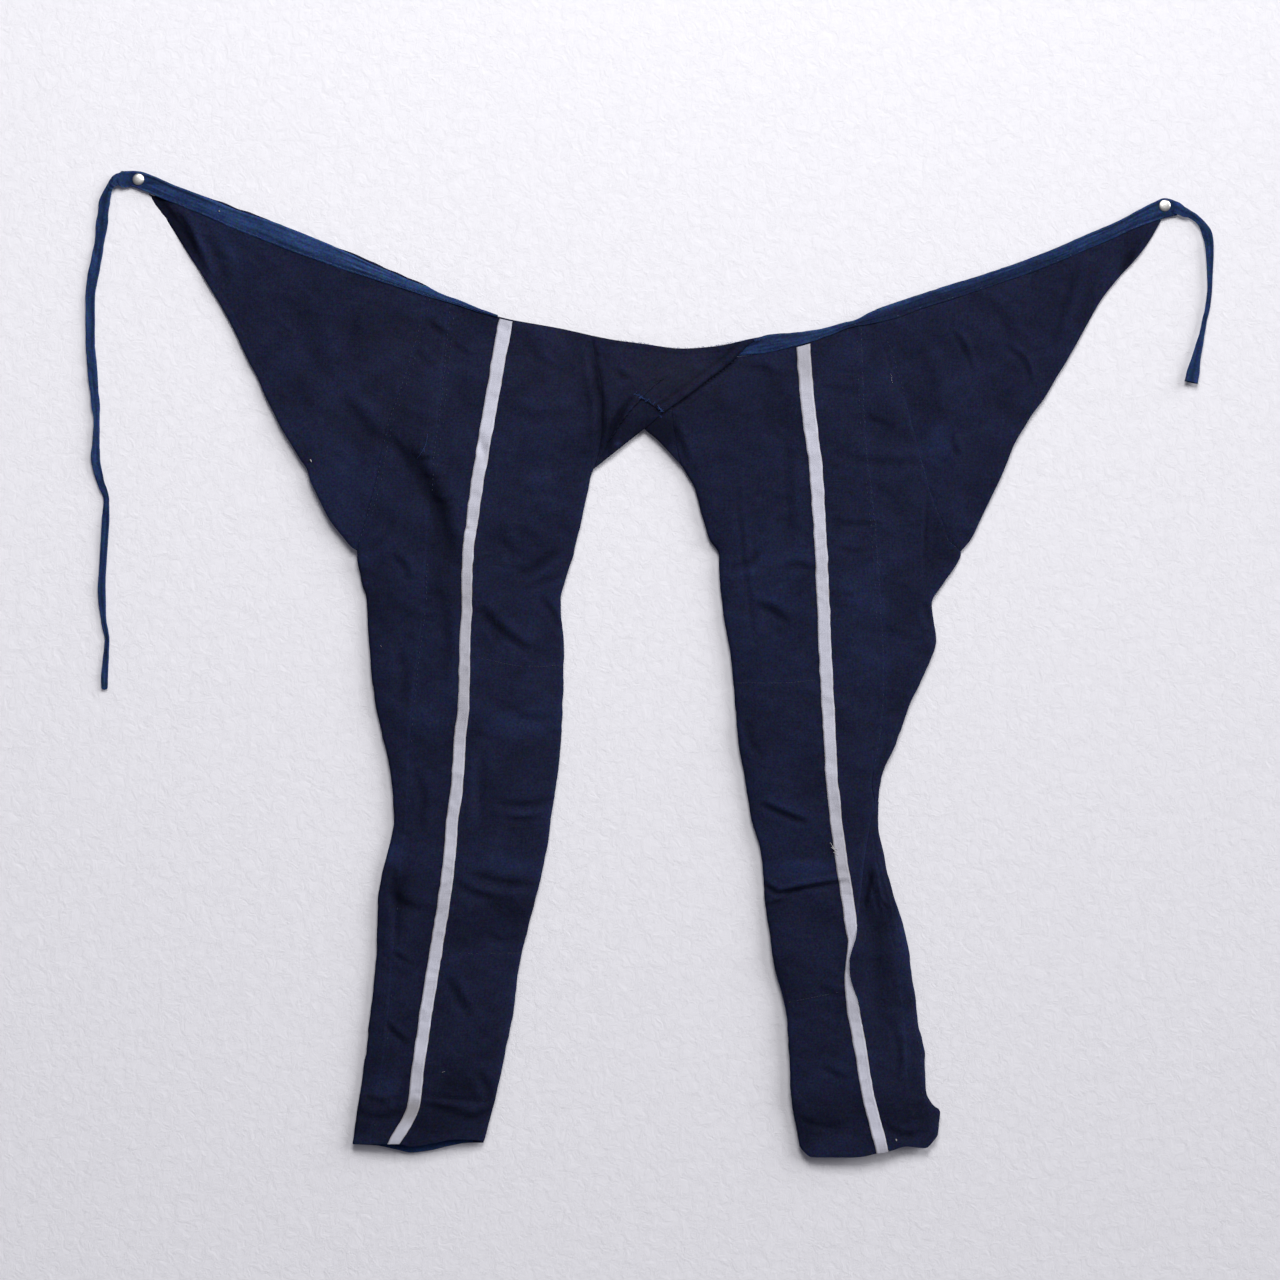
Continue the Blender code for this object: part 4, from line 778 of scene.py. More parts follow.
CREASES += (
    (1.2, 4.5, 0.6, 507, -234, 515, -251, 522, -271), (1, 4.5, 0.5, 574, -183, 589, -180, 605, -189),
    (1.3, 3.6, 0.8, 771, -143, 783, -159, 793, -184), (1.3, 5.2, 0.8, 892, -77, 882, -115, 866, -160),
    (1.2, 3.2, 0.9, 822, -158, 842, -174, 850, -200), (2.2, 4, 0.8, 952, -58, 942, -76, 930, -93),
    (1, 4, 0.5, 771, -245, 775, -255, 778, -264), (0.8, 8, 0.4, 810, -120, 824, -140, 830, -168),
    (0.9, 8, 0.4, 740, -160, 752, -190, 756, -225), (0.9, 4.2, 0.5, 650, -198, 669, -202, 689, -203),
    (0.9, 3.8, 0.5, 689, -226, 700, -230, 713, -234), (1.1, 6, 0.6, 669, -265, 705, -271, 748, -269),
    (1.1, 4.2, 0.6, 657, -325, 681, -330, 705, -327), (0.9, 3.6, 0.5, 664, -351, 678, -355, 693, -353),
    (0.9, 3.6, 0.5, 667, -394, 676, -397, 688, -392), (2.2, 2, -0.7, 750, -295, 748, -357, 750, -402),
    (1.6, 4.4, -0.8, 748, -402, 750, -414, 755, -426), (2.1, 5.2, -1, 557, -371, 576, -368, 589, -354),
    (1.2, 4.5, 0.6, 607, -374, 625, -368, 645, -372), (1.7, 5, 0.8, 585, -405, 600, -410, 619, -424),
    (0.7, 3, 0.4, 568, -271, 573, -343, 587, -444), (0.8, 6, 0.4, 615, -238, 618, -305, 616, -362),
    (2.2, 3.6, 1.1, 590, -594, 606, -601, 636, -613), (3, 3, 1.5, 588, -664, 609, -679, 632, -674, 676, -667),
    (-1, 6, 0.1, 600, -655, 630, -651, 656, -653), (1.9, 2.6, 0.8, 594, -692, 606, -688, 618, -680),
    (1.3, 1.6, -0.7, 704, -638.4, 711.6, -665, 719.2, -696.4, 723.9, -727.7),
    (1.1, 1.4, 0.4, 707.5, -637, 715.5, -664, 723, -695, 727.7, -727),
    (1.3, 2, 0.4, 697.4, -656, 694.6, -673, 690.6, -692), (0.9, 1.6, 0.5, 699, -659, 704, -682, 713, -696),
    (1.1, 5, -0.5, 577, -514, 583, -538, 596, -554), (1.2, 2.2, 0.5, 695.5, -662, 700, -680, 706, -700),
    (1, 4, 0.5, 648, -843, 659, -849, 673, -856), (1, 4.2, 0.5, 624, -892, 653, -900, 676, -895),
    (1.2, 4.2, 0.7, 710, -902, 729, -909, 750, -903), (0.9, 4.5, 0.5, 640, -760, 655, -772, 676, -776),
    (1, 4, 0.5, 716, -800, 722, -830, 720, -858),
)


def calf_column(k, z):
    return reading([(row[0] / 1000, row[k] / 1000) for row in CALF], z)


def tape_right_edge(z):
    return right.at("tape", z) + right.at("width", z) / 2


def calf_left(z):
    return mix(calf_column(1, z), tape_right_edge(z) + GAP, ease((CALF_BESIDE - z) / 0.03))


def calf_lift(x, z):
    return calf_column(3, z) * (1.0 - ease((x - calf_column(2, z)) / CALF_FADE))


def knee_edge(z):
    return mix(right.at("seam", z), reading(KNEE_FOLD, z), ease((KNEE_TOP - z) / 0.03))


def gusset_edge(z):
    return np.where(z > KNEE_TOP, right.at("outer", z), reading(KNEE_FOLD, z))


def right_join(z):
    return mix(right.at("tape", z), tape_right_edge(z), ease((KNEE_END - z) / 0.006))


right = Leg(LEG_RIGHT, OFFS_RIGHT, WAIST_RIGHT, HEM_RIGHT, SELVAGE_RIGHT, WING_CORNER_RIGHT, FOLD_RIGHT)
INNER_RIGHT = (((0.134, 0.335), 0.0370), ((0.096, 0.305), 0.0242), ((0.082, 0.165), 0.0112))
inner_front("right", right, right.line("inner"), right_join, (CROTCH, NEVER), INNER_RIGHT)
piece = panel("right_outer_front", right, right_join, knee_edge, right.top, KNEE_END, (NEVER, KNEE_TOP))
hang(piece, "outer_front_right")
piece = panel("right_side_gusset", right, knee_edge, gusset_edge, right.top, GUSSET_END, (NEVER, FORK_RIGHT))
hang(piece, "side_gusset_right")
calf = (CALF_TOP, right.bottom)
seam = right.line("seam")
piece = panel("right_outer_front_calf", right, calf_left, seam, *calf, (NEVER, NEVER), calf_lift)
hang(piece, "outer_front_calf_right")
piece = panel("right_side_gusset_calf", right, seam, right.line("outer"), *calf, (NEVER, ALWAYS), calf_lift)
hang(piece, "side_gusset_calf_right")


# The right wing, the mirror of the left one: the same cotton, sewn and gathered alike, and drawn tighter
# to its pin.
WING_EDGE_RIGHT = pairs(
    973, -38.5, 962, -58, 947.5, -77, 930, -96, 915.5, -115, 893.8, -153, 871.8, -191, 860, -210, 846.3, -229,
    835.2, -248, 818.8, -286, 800.6, -324, 791.2, -343, 784, -355,
)
piece = wing("right_wing", right, WING_EDGE_RIGHT, FORK_RIGHT)
hang(piece, "wing_right")


# The backs of both legs, one wide panel of the cotton each, against the wall. They close the legs into
# tubes and have creases of their own, pressed in where the trousers lay folded.
BACK_OFF = 0.0042
BACK_EDGE_OFF = 0.0052
BACK_INSET = 0.0006
BACK_PITCH = 0.0034
BACK_LEAST = 0.0014
BACK_TOP_LEFT = ((0.430, -0.283), (0.208, -0.360))
BACK_TOP_RIGHT = ((0.525, -0.284), (0.750, -0.408))
BACK_HEM_LEFT = pairs(
    204, -917.5, 225, -918.5, 245, -922.5, 259, -925.5, 277, -923.5, 296, -919, 316, -916, 329, -916,
)
BACK_CREASES = (
    (1.6, 7, 1, 250, -400, 290, -440, 330, -452), (1.4, 6, 0.9, 380, -330, 350, -372, 305, -392),
    (1.2, 9, 0.6, 300, -520, 304, -580, 296, -640), (1.7, 6, -1, 246, -655, 290, -668, 352, -662),
    (1.3, 6.5, 0.8, 240, -760, 285, -772, 330, -790), (1, 6, 0.5, 280, -830, 276, -860, 282, -890),
    (1.6, 6.5, 1, 560, -380, 610, -398, 660, -392), (1.2, 8, -0.8, 600, -450, 640, -470, 700, -462),
    (1.1, 9, 0.6, 640, -520, 636, -580, 644, -630), (1.8, 5.5, 1.1, 610, -665, 650, -672, 700, -655),
    (1.3, 6, 0.8, 640, -742, 680, -760, 722, -762), (1.2, 6, -0.7, 660, -850, 690, -866, 735, -860),
)


def back_off(leg, x, z):
    """How far the back's inner side stands off the wall: always clear of what lies in front of it."""
    inner = leg.at("inner", z)
    s = np.clip((x - inner) / (leg.at("fold", z) - inner), 0.0, 1.0)
    free = mix(BACK_EDGE_OFF, BACK_OFF, np.clip(np.sin(math.pi * s), 0.0, 1.0) ** 0.5)
    free += 0.0004 * rumple(x, z, 0.070, 21) + 0.0003 * rumple(x, z, 0.030, 23) + creased(x, z, BACK_CREASES)
    front = -leg.face(x, z)
    if leg is right:
        calf = (z < CALF_TOP + 0.02) & (z > CALF_END)
        front += np.where(calf, np.minimum(calf_lift(x, z), 0.0), 0.0)
    edge = 0.0010 * fade(np.minimum(s, 1.0 - s), 0.02)
    return np.clip(np.minimum(free, front - WALL - 2 * GAP - edge), BACK_LEAST, None)


def back(name, leg, top_ends, hem):
    fork_inner, fork_outer = top_ends
    top = (fork_inner[1] + fork_outer[1]) / 2
    inset = leg.outward * BACK_INSET
    levels = np.linspace(top, leg.bottom, 40)
    across = round(float(np.max(np.abs(leg.at("inner", levels) - leg.at("fold", levels)))) / BACK_PITCH)

    def where(u, v):
        level = mix(top, leg.bottom, v)
        share = crowd(u if leg.outward > 0 else 1.0 - u)
        z = level
        for _ in range(2):
            x = mix(leg.at("inner", z) + inset, leg.at("fold", z) - inset, share)
            reach = np.clip((x - fork_inner[0]) / (fork_outer[0] - fork_inner[0]), 0.0, 1.0)
            z = level + ease(1.0 - (top - level) / WAIST_REACH) * (mix(fork_inner[1], fork_outer[1], reach) - top)
        z = z + ease(1.0 - (level - leg.bottom) / HEM_REACH) * (reading(hem, x) - leg.bottom)
        rub_and_shade = 0.35 * fade(np.minimum(share, 1.0 - share), 1 / 60) + 0.25 * fade(level - leg.bottom, 0.004)
        return x, -back_off(leg, x, z), z, rub_and_shade, (x - leg.at("tape", level), z)

    return cloth(name, across, round((top - leg.bottom) / BACK_PITCH), where, indigo)


piece = back("left_leg_back", left, BACK_TOP_LEFT, BACK_HEM_LEFT)
hang(piece, "leg_back_left")
piece = back("right_leg_back", right, BACK_TOP_RIGHT, HEM_RIGHT)
hang(piece, "leg_back_right")


# A strip of lighter blue cotton faces the inside of the left hem, felled down by hand, and shows where the
# back hangs lower.
HEM_FACING_SPAN = (0.226, 0.318)
HEM_FACING_TOP = -0.902
FADED_DEEP = (0.0090, 0.0190, 0.0560, 1.0)
FADED_MIDDLE = (0.0175, 0.0380, 0.1170, 1.0)
FADED_WORN = (0.0310, 0.0660, 0.1860, 1.0)
FADED_DUSTY = (0.0112, 0.0138, 0.0350, 1.0)
faded = dye("faded indigo cotton", FADED_DEEP, FADED_MIDDLE, FADED_WORN, FADED_DUSTY, 40.0, 0.4)


def hem_facing(u, v):
    x = mix(*HEM_FACING_SPAN, u)
    z = mix(HEM_FACING_TOP, reading(BACK_HEM_LEFT, x) + 0.0004, v)
    y = -back_off(left, x, z) - GAP - WALL + 0.0005 * ease((v - 0.9) / 0.1)
    return x, y, z, 0.5 * ease((v - 0.75) / 0.25), (x, z)


piece = cloth("left_hem_facing", 46, 12, hem_facing, faded)
hang(piece, "hem_facing_left")


# The two seat pieces, of the same cotton, cross in the middle. The left one lies on top, its edge turned
# and sewn twice on the slant; a small square gusset is let in under its tip, torn and frayed by the strain.
FLAP_TOP = pairs(
    430.3, -148.2, 453, -153, 481, -156.8, 518, -161.2, 544, -159.6, 573, -154.5, 592, -150.3,
)
FLAP_FOLD = pairs(
    592, -150.3, 580.5, -157.8, 562.4, -175.2, 541.5, -190.8, 523.5, -204.5, 498.5, -222,
)
GUSSET_SEAM = ((0.431, -0.277), (0.440, -0.263), (0.456, -0.234), (0.473, -0.204))
GUSSET_TOP = ((0.473, -0.204), (0.4985, -0.2220))
GUSSET_LOW = ((0.431, -0.277), (0.4815, -0.237))
UNDER_LEFT = pairs(
    437, -168, 458, -200, 480.5, -236.5, 493.5, -247.8, 509.5, -264.8, 520.5, -277,
)
FLAP_RISE = 0.0034
FLAP_REACH = 0.14
GUSSET_BEHIND = 0.0016
UNDER_BEHIND = 0.0032
FLAP_HEM = 0.0085


def path(points, smooth=True):
    return lambda t: along(points, t, smooth)


def flap_off(x, z):
    return left.at("inner_off", z) + FLAP_RISE * ease((x - WAIST_LEFT[-1][0]) / FLAP_REACH)


def flap_shape(x, z):
    fold = far_from(x, z, FLAP_FOLD)
    seam = far_from(x, z, GUSSET_SEAM + GUSSET_TOP[1:])
    top = np.abs(along(FLAP_TOP, (x - FLAP_TOP[0][0]) / (FLAP_TOP[-1][0] - FLAP_TOP[0][0]))[1] - z)
    y = 0.0011 * curl(fold, 0.0026) + 0.0004 * hill(fold - FLAP_HEM, 0.0011) - flap_off(x, z) - relief(x, z)
    y += 0.0006 * hill(seam, 0.0016) - 0.0004 * ease((FLAP_HEM - fold) / 0.001)
    y += (WALL + 0.0001) * ease(1.0 - (x - left.at("inner", z)) / 0.0008)
    y += 0.0008 * curl(top, 0.002) + 0.0003 * hill(top - 0.006, 0.0012)
    # Painted shade in the troughs of the creases, paler where the cloth stands proud.
    rub_and_shade = CREASE_SHADE_AND_WEAR * relief(x, z) + 0.16 * fade(fold, 0.0025) + 0.10 * fade(seam, 0.002)
    # Painted shade in the groove along the inner edge of the turned hem.
    return y, rub_and_shade - 0.5 * hill(fold - FLAP_HEM, 0.0014)


def gusset_shape(x, z):
    edge = far_from(x, z, GUSSET_LOW)
    return GUSSET_BEHIND - flap_off(x, z) - relief(x, z) + 0.0008 * curl(edge, 0.002), 0.10 * fade(edge, 0.002)


def under_shape(x, z):
    edge = far_from(x, z, UNDER_LEFT)
    y = UNDER_BEHIND - flap_off(x, z) - 0.5 * relief(x, z) + 0.0008 * curl(edge, 0.002)
    y += (WALL + 0.0001) * ease(1.0 - (right.at("inner", z) - x) / 0.0008)
    # Paler along the edge; painted shade in the troughs of the creases, paler where the cloth stands proud.
    return y, 0.15 * fade(edge, 0.0025) + CREASE_SHADE_AND_WEAR * relief(x, z)


left_seam = seam_down(left, "inner", -SEAM_LAP, CROTCH)
right_seam = seam_down(right, "inner", SEAM_LAP, CROTCH)
piece = quilt(
    "crossing_flap", 68, 58, path((spot_at(left_seam, 0.0),) + FLAP_TOP[1:]),
    path((spot_at(left_seam, 1.0),) + GUSSET_SEAM[1:] + GUSSET_TOP[1:], False), left_seam, path(FLAP_FOLD), flap_shape,
)
hang(piece, "crotch_flap")
piece = quilt(
    "crotch_square", 16, 34, path(GUSSET_TOP), path(GUSSET_LOW), path(GUSSET_SEAM[::-1], False),
    path((GUSSET_TOP[1], GUSSET_LOW[1])), gusset_shape,
)
hang(piece, "crotch_gusset")
piece = quilt(
    "crossing_under_piece", 32, 52, path((UNDER_LEFT[0], spot_at(right_seam, 0.0))),
    path((UNDER_LEFT[-1], spot_at(right_seam, 1.0))), path(UNDER_LEFT), right_seam, under_shape,
)
hang(piece, "crotch_under_right")


# A pale cotton tape runs down the middle of each leg, sewn over the seam of its two front panels. It has
# greyed and yellowed in bands, and both ends are turned under at the hem.
TAPE_PROUD = 0.0010
TAPE_WALL = 0.0006
TAPE_COLUMNS = 12
TAPE_CLEAN = (0.570, 0.578, 0.680, 1.0)
TAPE_GREY = (0.300, 0.292, 0.318, 1.0)
TAPE_EDGE = (0.210, 0.170, 0.140, 1.0)
TAPE_YARN = 0.0009
TAPE_WRINKLES = (-0.561, -0.624, -0.679, -0.711, -0.753, -0.800, -0.834)
TAPE_SOILED = (
    (316, -300, 50, 50, 0.16), (297, -400, 60, 45, 0.52), (290, -490, 60, 50, 0.58), (285, -590, 60, 30, 0.16),
    (279, -690, 60, 45, 0.3), (264, -846, 40, 16, 0.25), (256, -884, 30, 13, 0.95), (632, -172, 40, 30, 0.5),
    (650, -400, 50, 45, 0.16), (662, -600, 50, 40, 0.34), (668, -658, 50, 30, 0.42), (676, -770, 50, 40, 0.26),
    (706, -922, 30, 7, 0.4), (313.5, -331, 1.6, 1.4, 1),
)

pale = Finish("pale tape")
slub, normal = weave(pale, TAPE_YARN, 0.5)
tone = pale.calc("MULTIPLY_ADD", pale.noise(36.0, 5.0, Roughness=0.6), 0.55, pale.mark("dust"))
tone = pale.calc("MULTIPLY_ADD", slub, 0.25, tone)
tone = pale.calc("MULTIPLY_ADD", pale.noise(700.0, 2.0), 0.30, tone)
colour = pale.blend(pale.span(tone, "From", 0.52, 1.55), TAPE_CLEAN, TAPE_GREY)
pale.feed(pale.shader, {
    "Base Color": pale.blend(pale.mark("wear_and_shade"), colour, TAPE_EDGE), "Normal": normal,
    "Roughness": 0.88, "Specular IOR Level": 0.25,
})


def tape(name, leg, under):
    def where(u, v):
        level = mix(leg.top, leg.bottom, v)
        middle = leg.at("tape", level)
        sway = 0.00022 * rumple(0.0, level, 0.040, 71) + 0.00010 * rumple(0.0, level, 0.012, 72)
        x = middle + sway + (u - 0.5) * (leg.at("width", level) + 0.00035 * rumple(0.0, level, 0.030, 73))
        z = leg.height(x, level) - under * ease((level - leg.top) / 0.01 + 1.0)
        rim = np.minimum(u, 1.0 - u)
        y = leg.face(x, z, TAPE_PROUD) - 0.00022 * hill(rim - 0.11, 0.05) + 0.0007 * curl(rim, 0.05)
        y += 0.00012 * rumple(4.0 * (x - middle), level, 0.010, 74) * fade(rim, 0.16) + hemmed(leg, x, z)[1]
        for wrinkle in TAPE_WRINKLES:
            y += 0.00035 * hill(level - wrinkle + 0.002 * (u - 0.5), 0.0010)
        edge = fade(rim, 0.035) * np.clip(0.45 + 0.40 * rumple(0.0, level, 0.017, 75), 0.0, 1.0)
        return x, y, z, edge, (x - middle, level)

    down = round((leg.top - leg.bottom) / PITCH)
    return cloth(name, TAPE_COLUMNS, down, where, pale.material, TAPE_WALL, TAPE_SOILED, ())


piece = tape("left_tape", left, 0.0017)
hang(piece, "tape_left")
piece = tape("right_tape", right, 0.0022)
hang(piece, "tape_right")


# The waistband, a strip of lighter blue cotton in two lengths, folded over the gathered edge and felled
# down in front. Its fold has rolled forward, and its lower edge is caught with small pale stitches.
BAND_PROUD = 0.0007
BAND_CROWN = 0.0004
BAND_DEEP = 0.0020
BAND_OVER = 0.0011
BAND_WALL = 0.0006
BAND_BACK = 0.42
BAND_ROLL = 0.05
BAND_RISE = 0.0004
BAND_ROWS = 30
PIN_LEFT = (0.0, 0.0)
PIN_RIGHT = (0.976, -0.025)
UNDER_PIN = 0.00485
BAND_TOP_LEFT = pairs(
    -14.5, 7.2, -7, 7.8, 2, 7.2, 11.4, 4, 20.9, 0, 30.4, -4.3, 49.4, -11.4, 68.4, -18.6, 87.4, -26.8, 106.4, -33.5,
    125.4, -39.6, 144.4, -47.1, 163.4, -54.8, 182.4, -62.5, 201.4, -71.6, 220.4, -80.6, 239.4, -88.2, 258.4, -96.8,
    277.4, -104, 286.9, -109.3, 296.4, -113, 305.9, -116.2, 323, -123.4, 342, -130.3,
)
BAND_LOW_LEFT = pairs(
    -14.5, -4, -5, -6, 2, -8.5, 11.4, -12, 20.9, -16.4, 39.9, -24.2, 78, -40.3, 116, -56, 154, -70.8, 192, -84.1,
    230, -96.5, 268, -108.8, 306, -119.8, 323, -125.3, 342, -130.3,
)
BAND_TOP_RIGHT = pairs(
    555, -159, 578.6, -152.7, 590, -150.7, 601.4, -148.1, 624.2, -146.6, 647, -143.3, 669.8, -137.4, 681.2, -134.9,
    692.6, -128.8, 704, -123.4, 726.8, -115.2, 772.4, -100.5, 818, -86.1, 863.6, -69.3, 909.2, -49.6, 932, -39.5,
    954.8, -27.4, 966.2, -21.8, 975, -18.2, 983, -19.5, 988, -22.2,
)
BAND_LOW_RIGHT = ((0.555, -0.1690),) + WAIST_RIGHT[2:] + ((0.981, -0.0342), (0.988, -0.0330))
FACING_RISE = pairs(
    50, -1.2, 70, 0.6, 80, 1.6, 110, 1.4, 140, -1, 180, -0.8, 200, 1.6, 215, 2.6, 240, 1.6, 262, 2.2, 274, 1,
    287, -1.2,
)
BAND_DULL = (
    (700, -142, 26, 6, 1), (735, -129, 30, 7, 1), (775, -114, 30, 7, 0.85), (815, -100, 30, 7, 0.6),
    (860, -80, 40, 8, 0.4), (594, -154.5, 16, 4, 0.7), (625, -149, 22, 3.4, 0.65), (925, -47, 30, 6, 0.25),
)
# Painted shadow on the band beside each pin, where it folds and turns: the middle, the reach across and down, and how
# much darker (negative).
BAND_PIN_SHADOWS = (
    (-11, 1.2, 7, 1.4, -1.6), (985, -26.2, 4.6, 4, -1.4), (12, -3, 11, 1.6, -1),
)

# How worn each length is: along its middle, how much darker below it, and along its sewn edge.
BAND_WORN = {
    "left": (
        ((-0.02, 0.05), (0.04, 0.12), (0.065, 0.34), (0.095, 0.22), (0.13, 0.40), (0.18, 0.55), (0.26, 0.55),
         (0.342, 0.60)),
        ((-0.02, 0.0), (0.342, 0.0)), 0.60,
    ),
    "right": (
        ((0.555, 0.10), (0.62, 0.26), (0.67, 0.30), (0.71, 0.15), (0.86, 0.15), (0.92, 0.30), (1.0, 0.20)),
        ((0.555, 0.0), (0.66, 0.1), (0.69, 1.0), (0.77, 0.95), (0.83, 0.70), (0.90, 0.25), (1.0, 0.0)), 0.25,
    ),
}


def band_face(leg, x, z, f, pin):
    """The Y of the band's front, f of the way from its fold down to its sewn edge."""
    run = x * 31.0
    out = 0.00022 * np.sin(f * 19.0 + 2.2 * np.sin(run) + run) + 0.00016 * np.sin(f * 34.0 - run * 2.3)
    out -= 0.0008 * hill(f - 0.20, 0.045) * (0.35 + 0.65 * fade(np.abs(x - pin[0]), 0.09))
    out += 0.00045 * hill(f - 0.08, 0.07)
    out += 0.00025 * hill(f - 0.94, 0.03) - 0.0005 * hill(f - 0.86, 0.035)
    out += 0.00022 * np.sin(x * 900.0 + 2.5 * np.sin(x * 130.0)) * fade(np.abs(f - 0.9), 0.12)
    out += BAND_CROWN * np.sin(math.pi * np.clip(f, 0.0, 1.0)) + BAND_PROUD
    pressed = np.exp(-((np.hypot(x - pin[0], z - pin[1]) / 0.0085) ** 4))
    return mix(leg.face(x, z, out), -UNDER_PIN, pressed)


def band(side, leg, top, low, pin, columns):
    middle, shaded, hem = BAND_WORN[side]

    def where(u, v):
        x = mix(top[0][0], top[-1][0], u)
        high = reading(top, x) + BAND_RISE + 0.00022 * rumple(x, 0.0, 0.030, 81) + 0.00010 * rumple(x, 0.0, 0.011, 82)
        deep = reading(low, x) - BAND_OVER + 0.00022 * rumple(x, 0.0, 0.034, 83) + 0.00010 * rumple(x, 0.0, 0.011, 84)
        f = np.clip((v - BAND_BACK) / (1.0 - BAND_BACK), 0.0, 1.0)
        z = mix(high, deep, f + 0.94 * np.clip((BAND_BACK - v) / BAND_BACK, 0.0, 1.0))
        front = band_face(leg, x, z, f, pin)
        turn = np.clip((v - BAND_BACK) / BAND_ROLL + 0.5, 0.0, 1.0)
        y = mix(front + BAND_DEEP, front, 0.5 - 0.5 * np.cos(math.pi * turn)) + 0.0007 * ease((f - 0.965) / 0.035)
        z = z + 0.0005 * np.sin(math.pi * turn)
        # Paler along the middle where worn, with a painted highlight along the rolled fold at the top.
        rub_and_shade = reading(middle, x) * (1.0 - ease((f - 0.64) / 0.10)) + 0.45 * hill(f - 0.09, 0.07)
        rub_and_shade += hem * hill(f - 0.945, 0.024) - reading(shaded, x) * ease((f - 0.32) / 0.14)
        # Painted shadow under the rolled fold, beside the pin.
        rub_and_shade -= 1.8 * ease(1.35 - np.abs(x - pin[0]) / 0.085) * hill(f - 0.20, 0.055)
        rub_and_shade += 0.30 * rumple(x * 0.10, f * 0.016, 0.0045, 31) + 0.14 * rumple(x, f * 0.016, 0.014, 32)
        return x, y, z, np.where(f > 0.0, rub_and_shade, 0.2), (x, z)

    return cloth(f"{side}_waistband", columns, BAND_ROWS, where, faded, BAND_WALL, BAND_DULL, BAND_PIN_SHADOWS)


piece = band("left", left, BAND_TOP_LEFT, BAND_LOW_LEFT, PIN_LEFT, 210)
hang(piece, "waistband_left")
piece = band("right", right, BAND_TOP_RIGHT, BAND_LOW_RIGHT, PIN_RIGHT, 250)
hang(piece, "waistband_right")


def waist_facing(u, v):
    x = mix(FACING_RISE[0][0], FACING_RISE[-1][0], u)
    high = reading(BAND_TOP_LEFT, x) + reading(FACING_RISE, x) + BAND_RISE + 0.0003 * rumple(x, 0.0, 0.016, 85)
    z = mix(high, reading(BAND_LOW_LEFT, x), v)
    y = -left.off(x, z) + BAND_DEEP - BAND_PROUD + GAP
    return x, y, z, 0.25 * fade(v, 0.08), (x, z)


piece = cloth("left_waist_facing", 130, 10, waist_facing, indigo)
hang(piece, "waist_facing_left")


# The ties: the band's own cloth drawn out into two narrow tubes, pressed flat, creased and twisted. The
# left one ends in a knot of turned-in cloth, and the right one's end has come open.
TIE_ROUND = 20
TIE_THICK = 0.0017
TIE_PITCH = 0.0013
TIE_SEWN = 0.010

# Along each tie: its middle's x and z, its width, how far it stands off the wall, and its turn in radians.
TIE_LEFT = (
    (-5.5, 0.2, 12.4, 3.6, 0), (-12.2, 0.2, 15.2, 4.2, 0), (-18.8, 0, 12.6, 5.2, 0.1), (-24, -3.2, 8.6, 5.5, 0.2),
    (-27, -7.2, 7, 5.5, 0.2), (-29.3, -12, 8.4, 4.8, 0.2), (-32.4, -22, 10.8, 3.9, 0.1),
    (-34.4, -38, 11.2, 3.3, 0.1), (-37.1, -58, 9.8, 2.8, 0.1), (-40.4, -77, 10, 2.8, 0), (-44.2, -96, 10, 2.8, 0),
    (-46.1, -115, 8.8, 2.8, 0), (-46.1, -153, 8.6, 2.8, 0), (-44.7, -172, 9.4, 2.8, -0.1),
    (-43.2, -191, 8.6, 3, -0.1), (-41.3, -210, 8.4, 3.3, -0.2), (-39.9, -229, 6, 3.5, -0.3),
    (-40.4, -248, 6.8, 3.6, -0.3), (-41, -264, 8.4, 3.6, -0.1), (-36.6, -286, 8, 3.9, 0.2),
    (-30.6, -305, 5.8, 4.1, 0.3), (-31.3, -324, 7.6, 4, 0.2), (-33.7, -362, 6.8, 3.6, 0.1),
    (-35.1, -390, 7.8, 3.3, 0), (-33.2, -419, 5.6, 3.3, 0.2), (-30.1, -438, 5, 3.3, 0.2),
    (-31.3, -457, 5.8, 3.1, 0.1), (-32.5, -475, 6.6, 2.9, 0), (-32.5, -485.5, 5.4, 2.8, 0),
)
TIE_RIGHT = (
    (981, -25.8, 11.8, 3.6, 0), (986.5, -26.8, 12, 4.2, 0), (993.2, -30.6, 8.8, 5.6, 0.1),
    (1002.4, -34.5, 7, 4.3, 0.2), (1011.4, -42.8, 7.2, 5, 0.2), (1016.5, -52.7, 9.2, 5, 0.2),
    (1018.4, -64, 8.4, 4.8, 0.1), (1019, -80.8, 6.6, 4.5, 0), (1018.9, -101.7, 5, 4.2, -0.2),
    (1017.5, -116.9, 5.2, 4, -0.3), (1016.2, -125.2, 5.6, 4, -0.3), (1014.4, -132, 4.8, 4, -0.3),
    (1012.5, -142.2, 5.4, 4.1, -0.2), (1009.4, -155.9, 7, 4.3, -0.1), (1005.6, -171.2, 9, 4.5, 0),
    (1003, -184, 12, 4.6, 0), (1001, -193.5, 13.2, 4.7, 0),
)


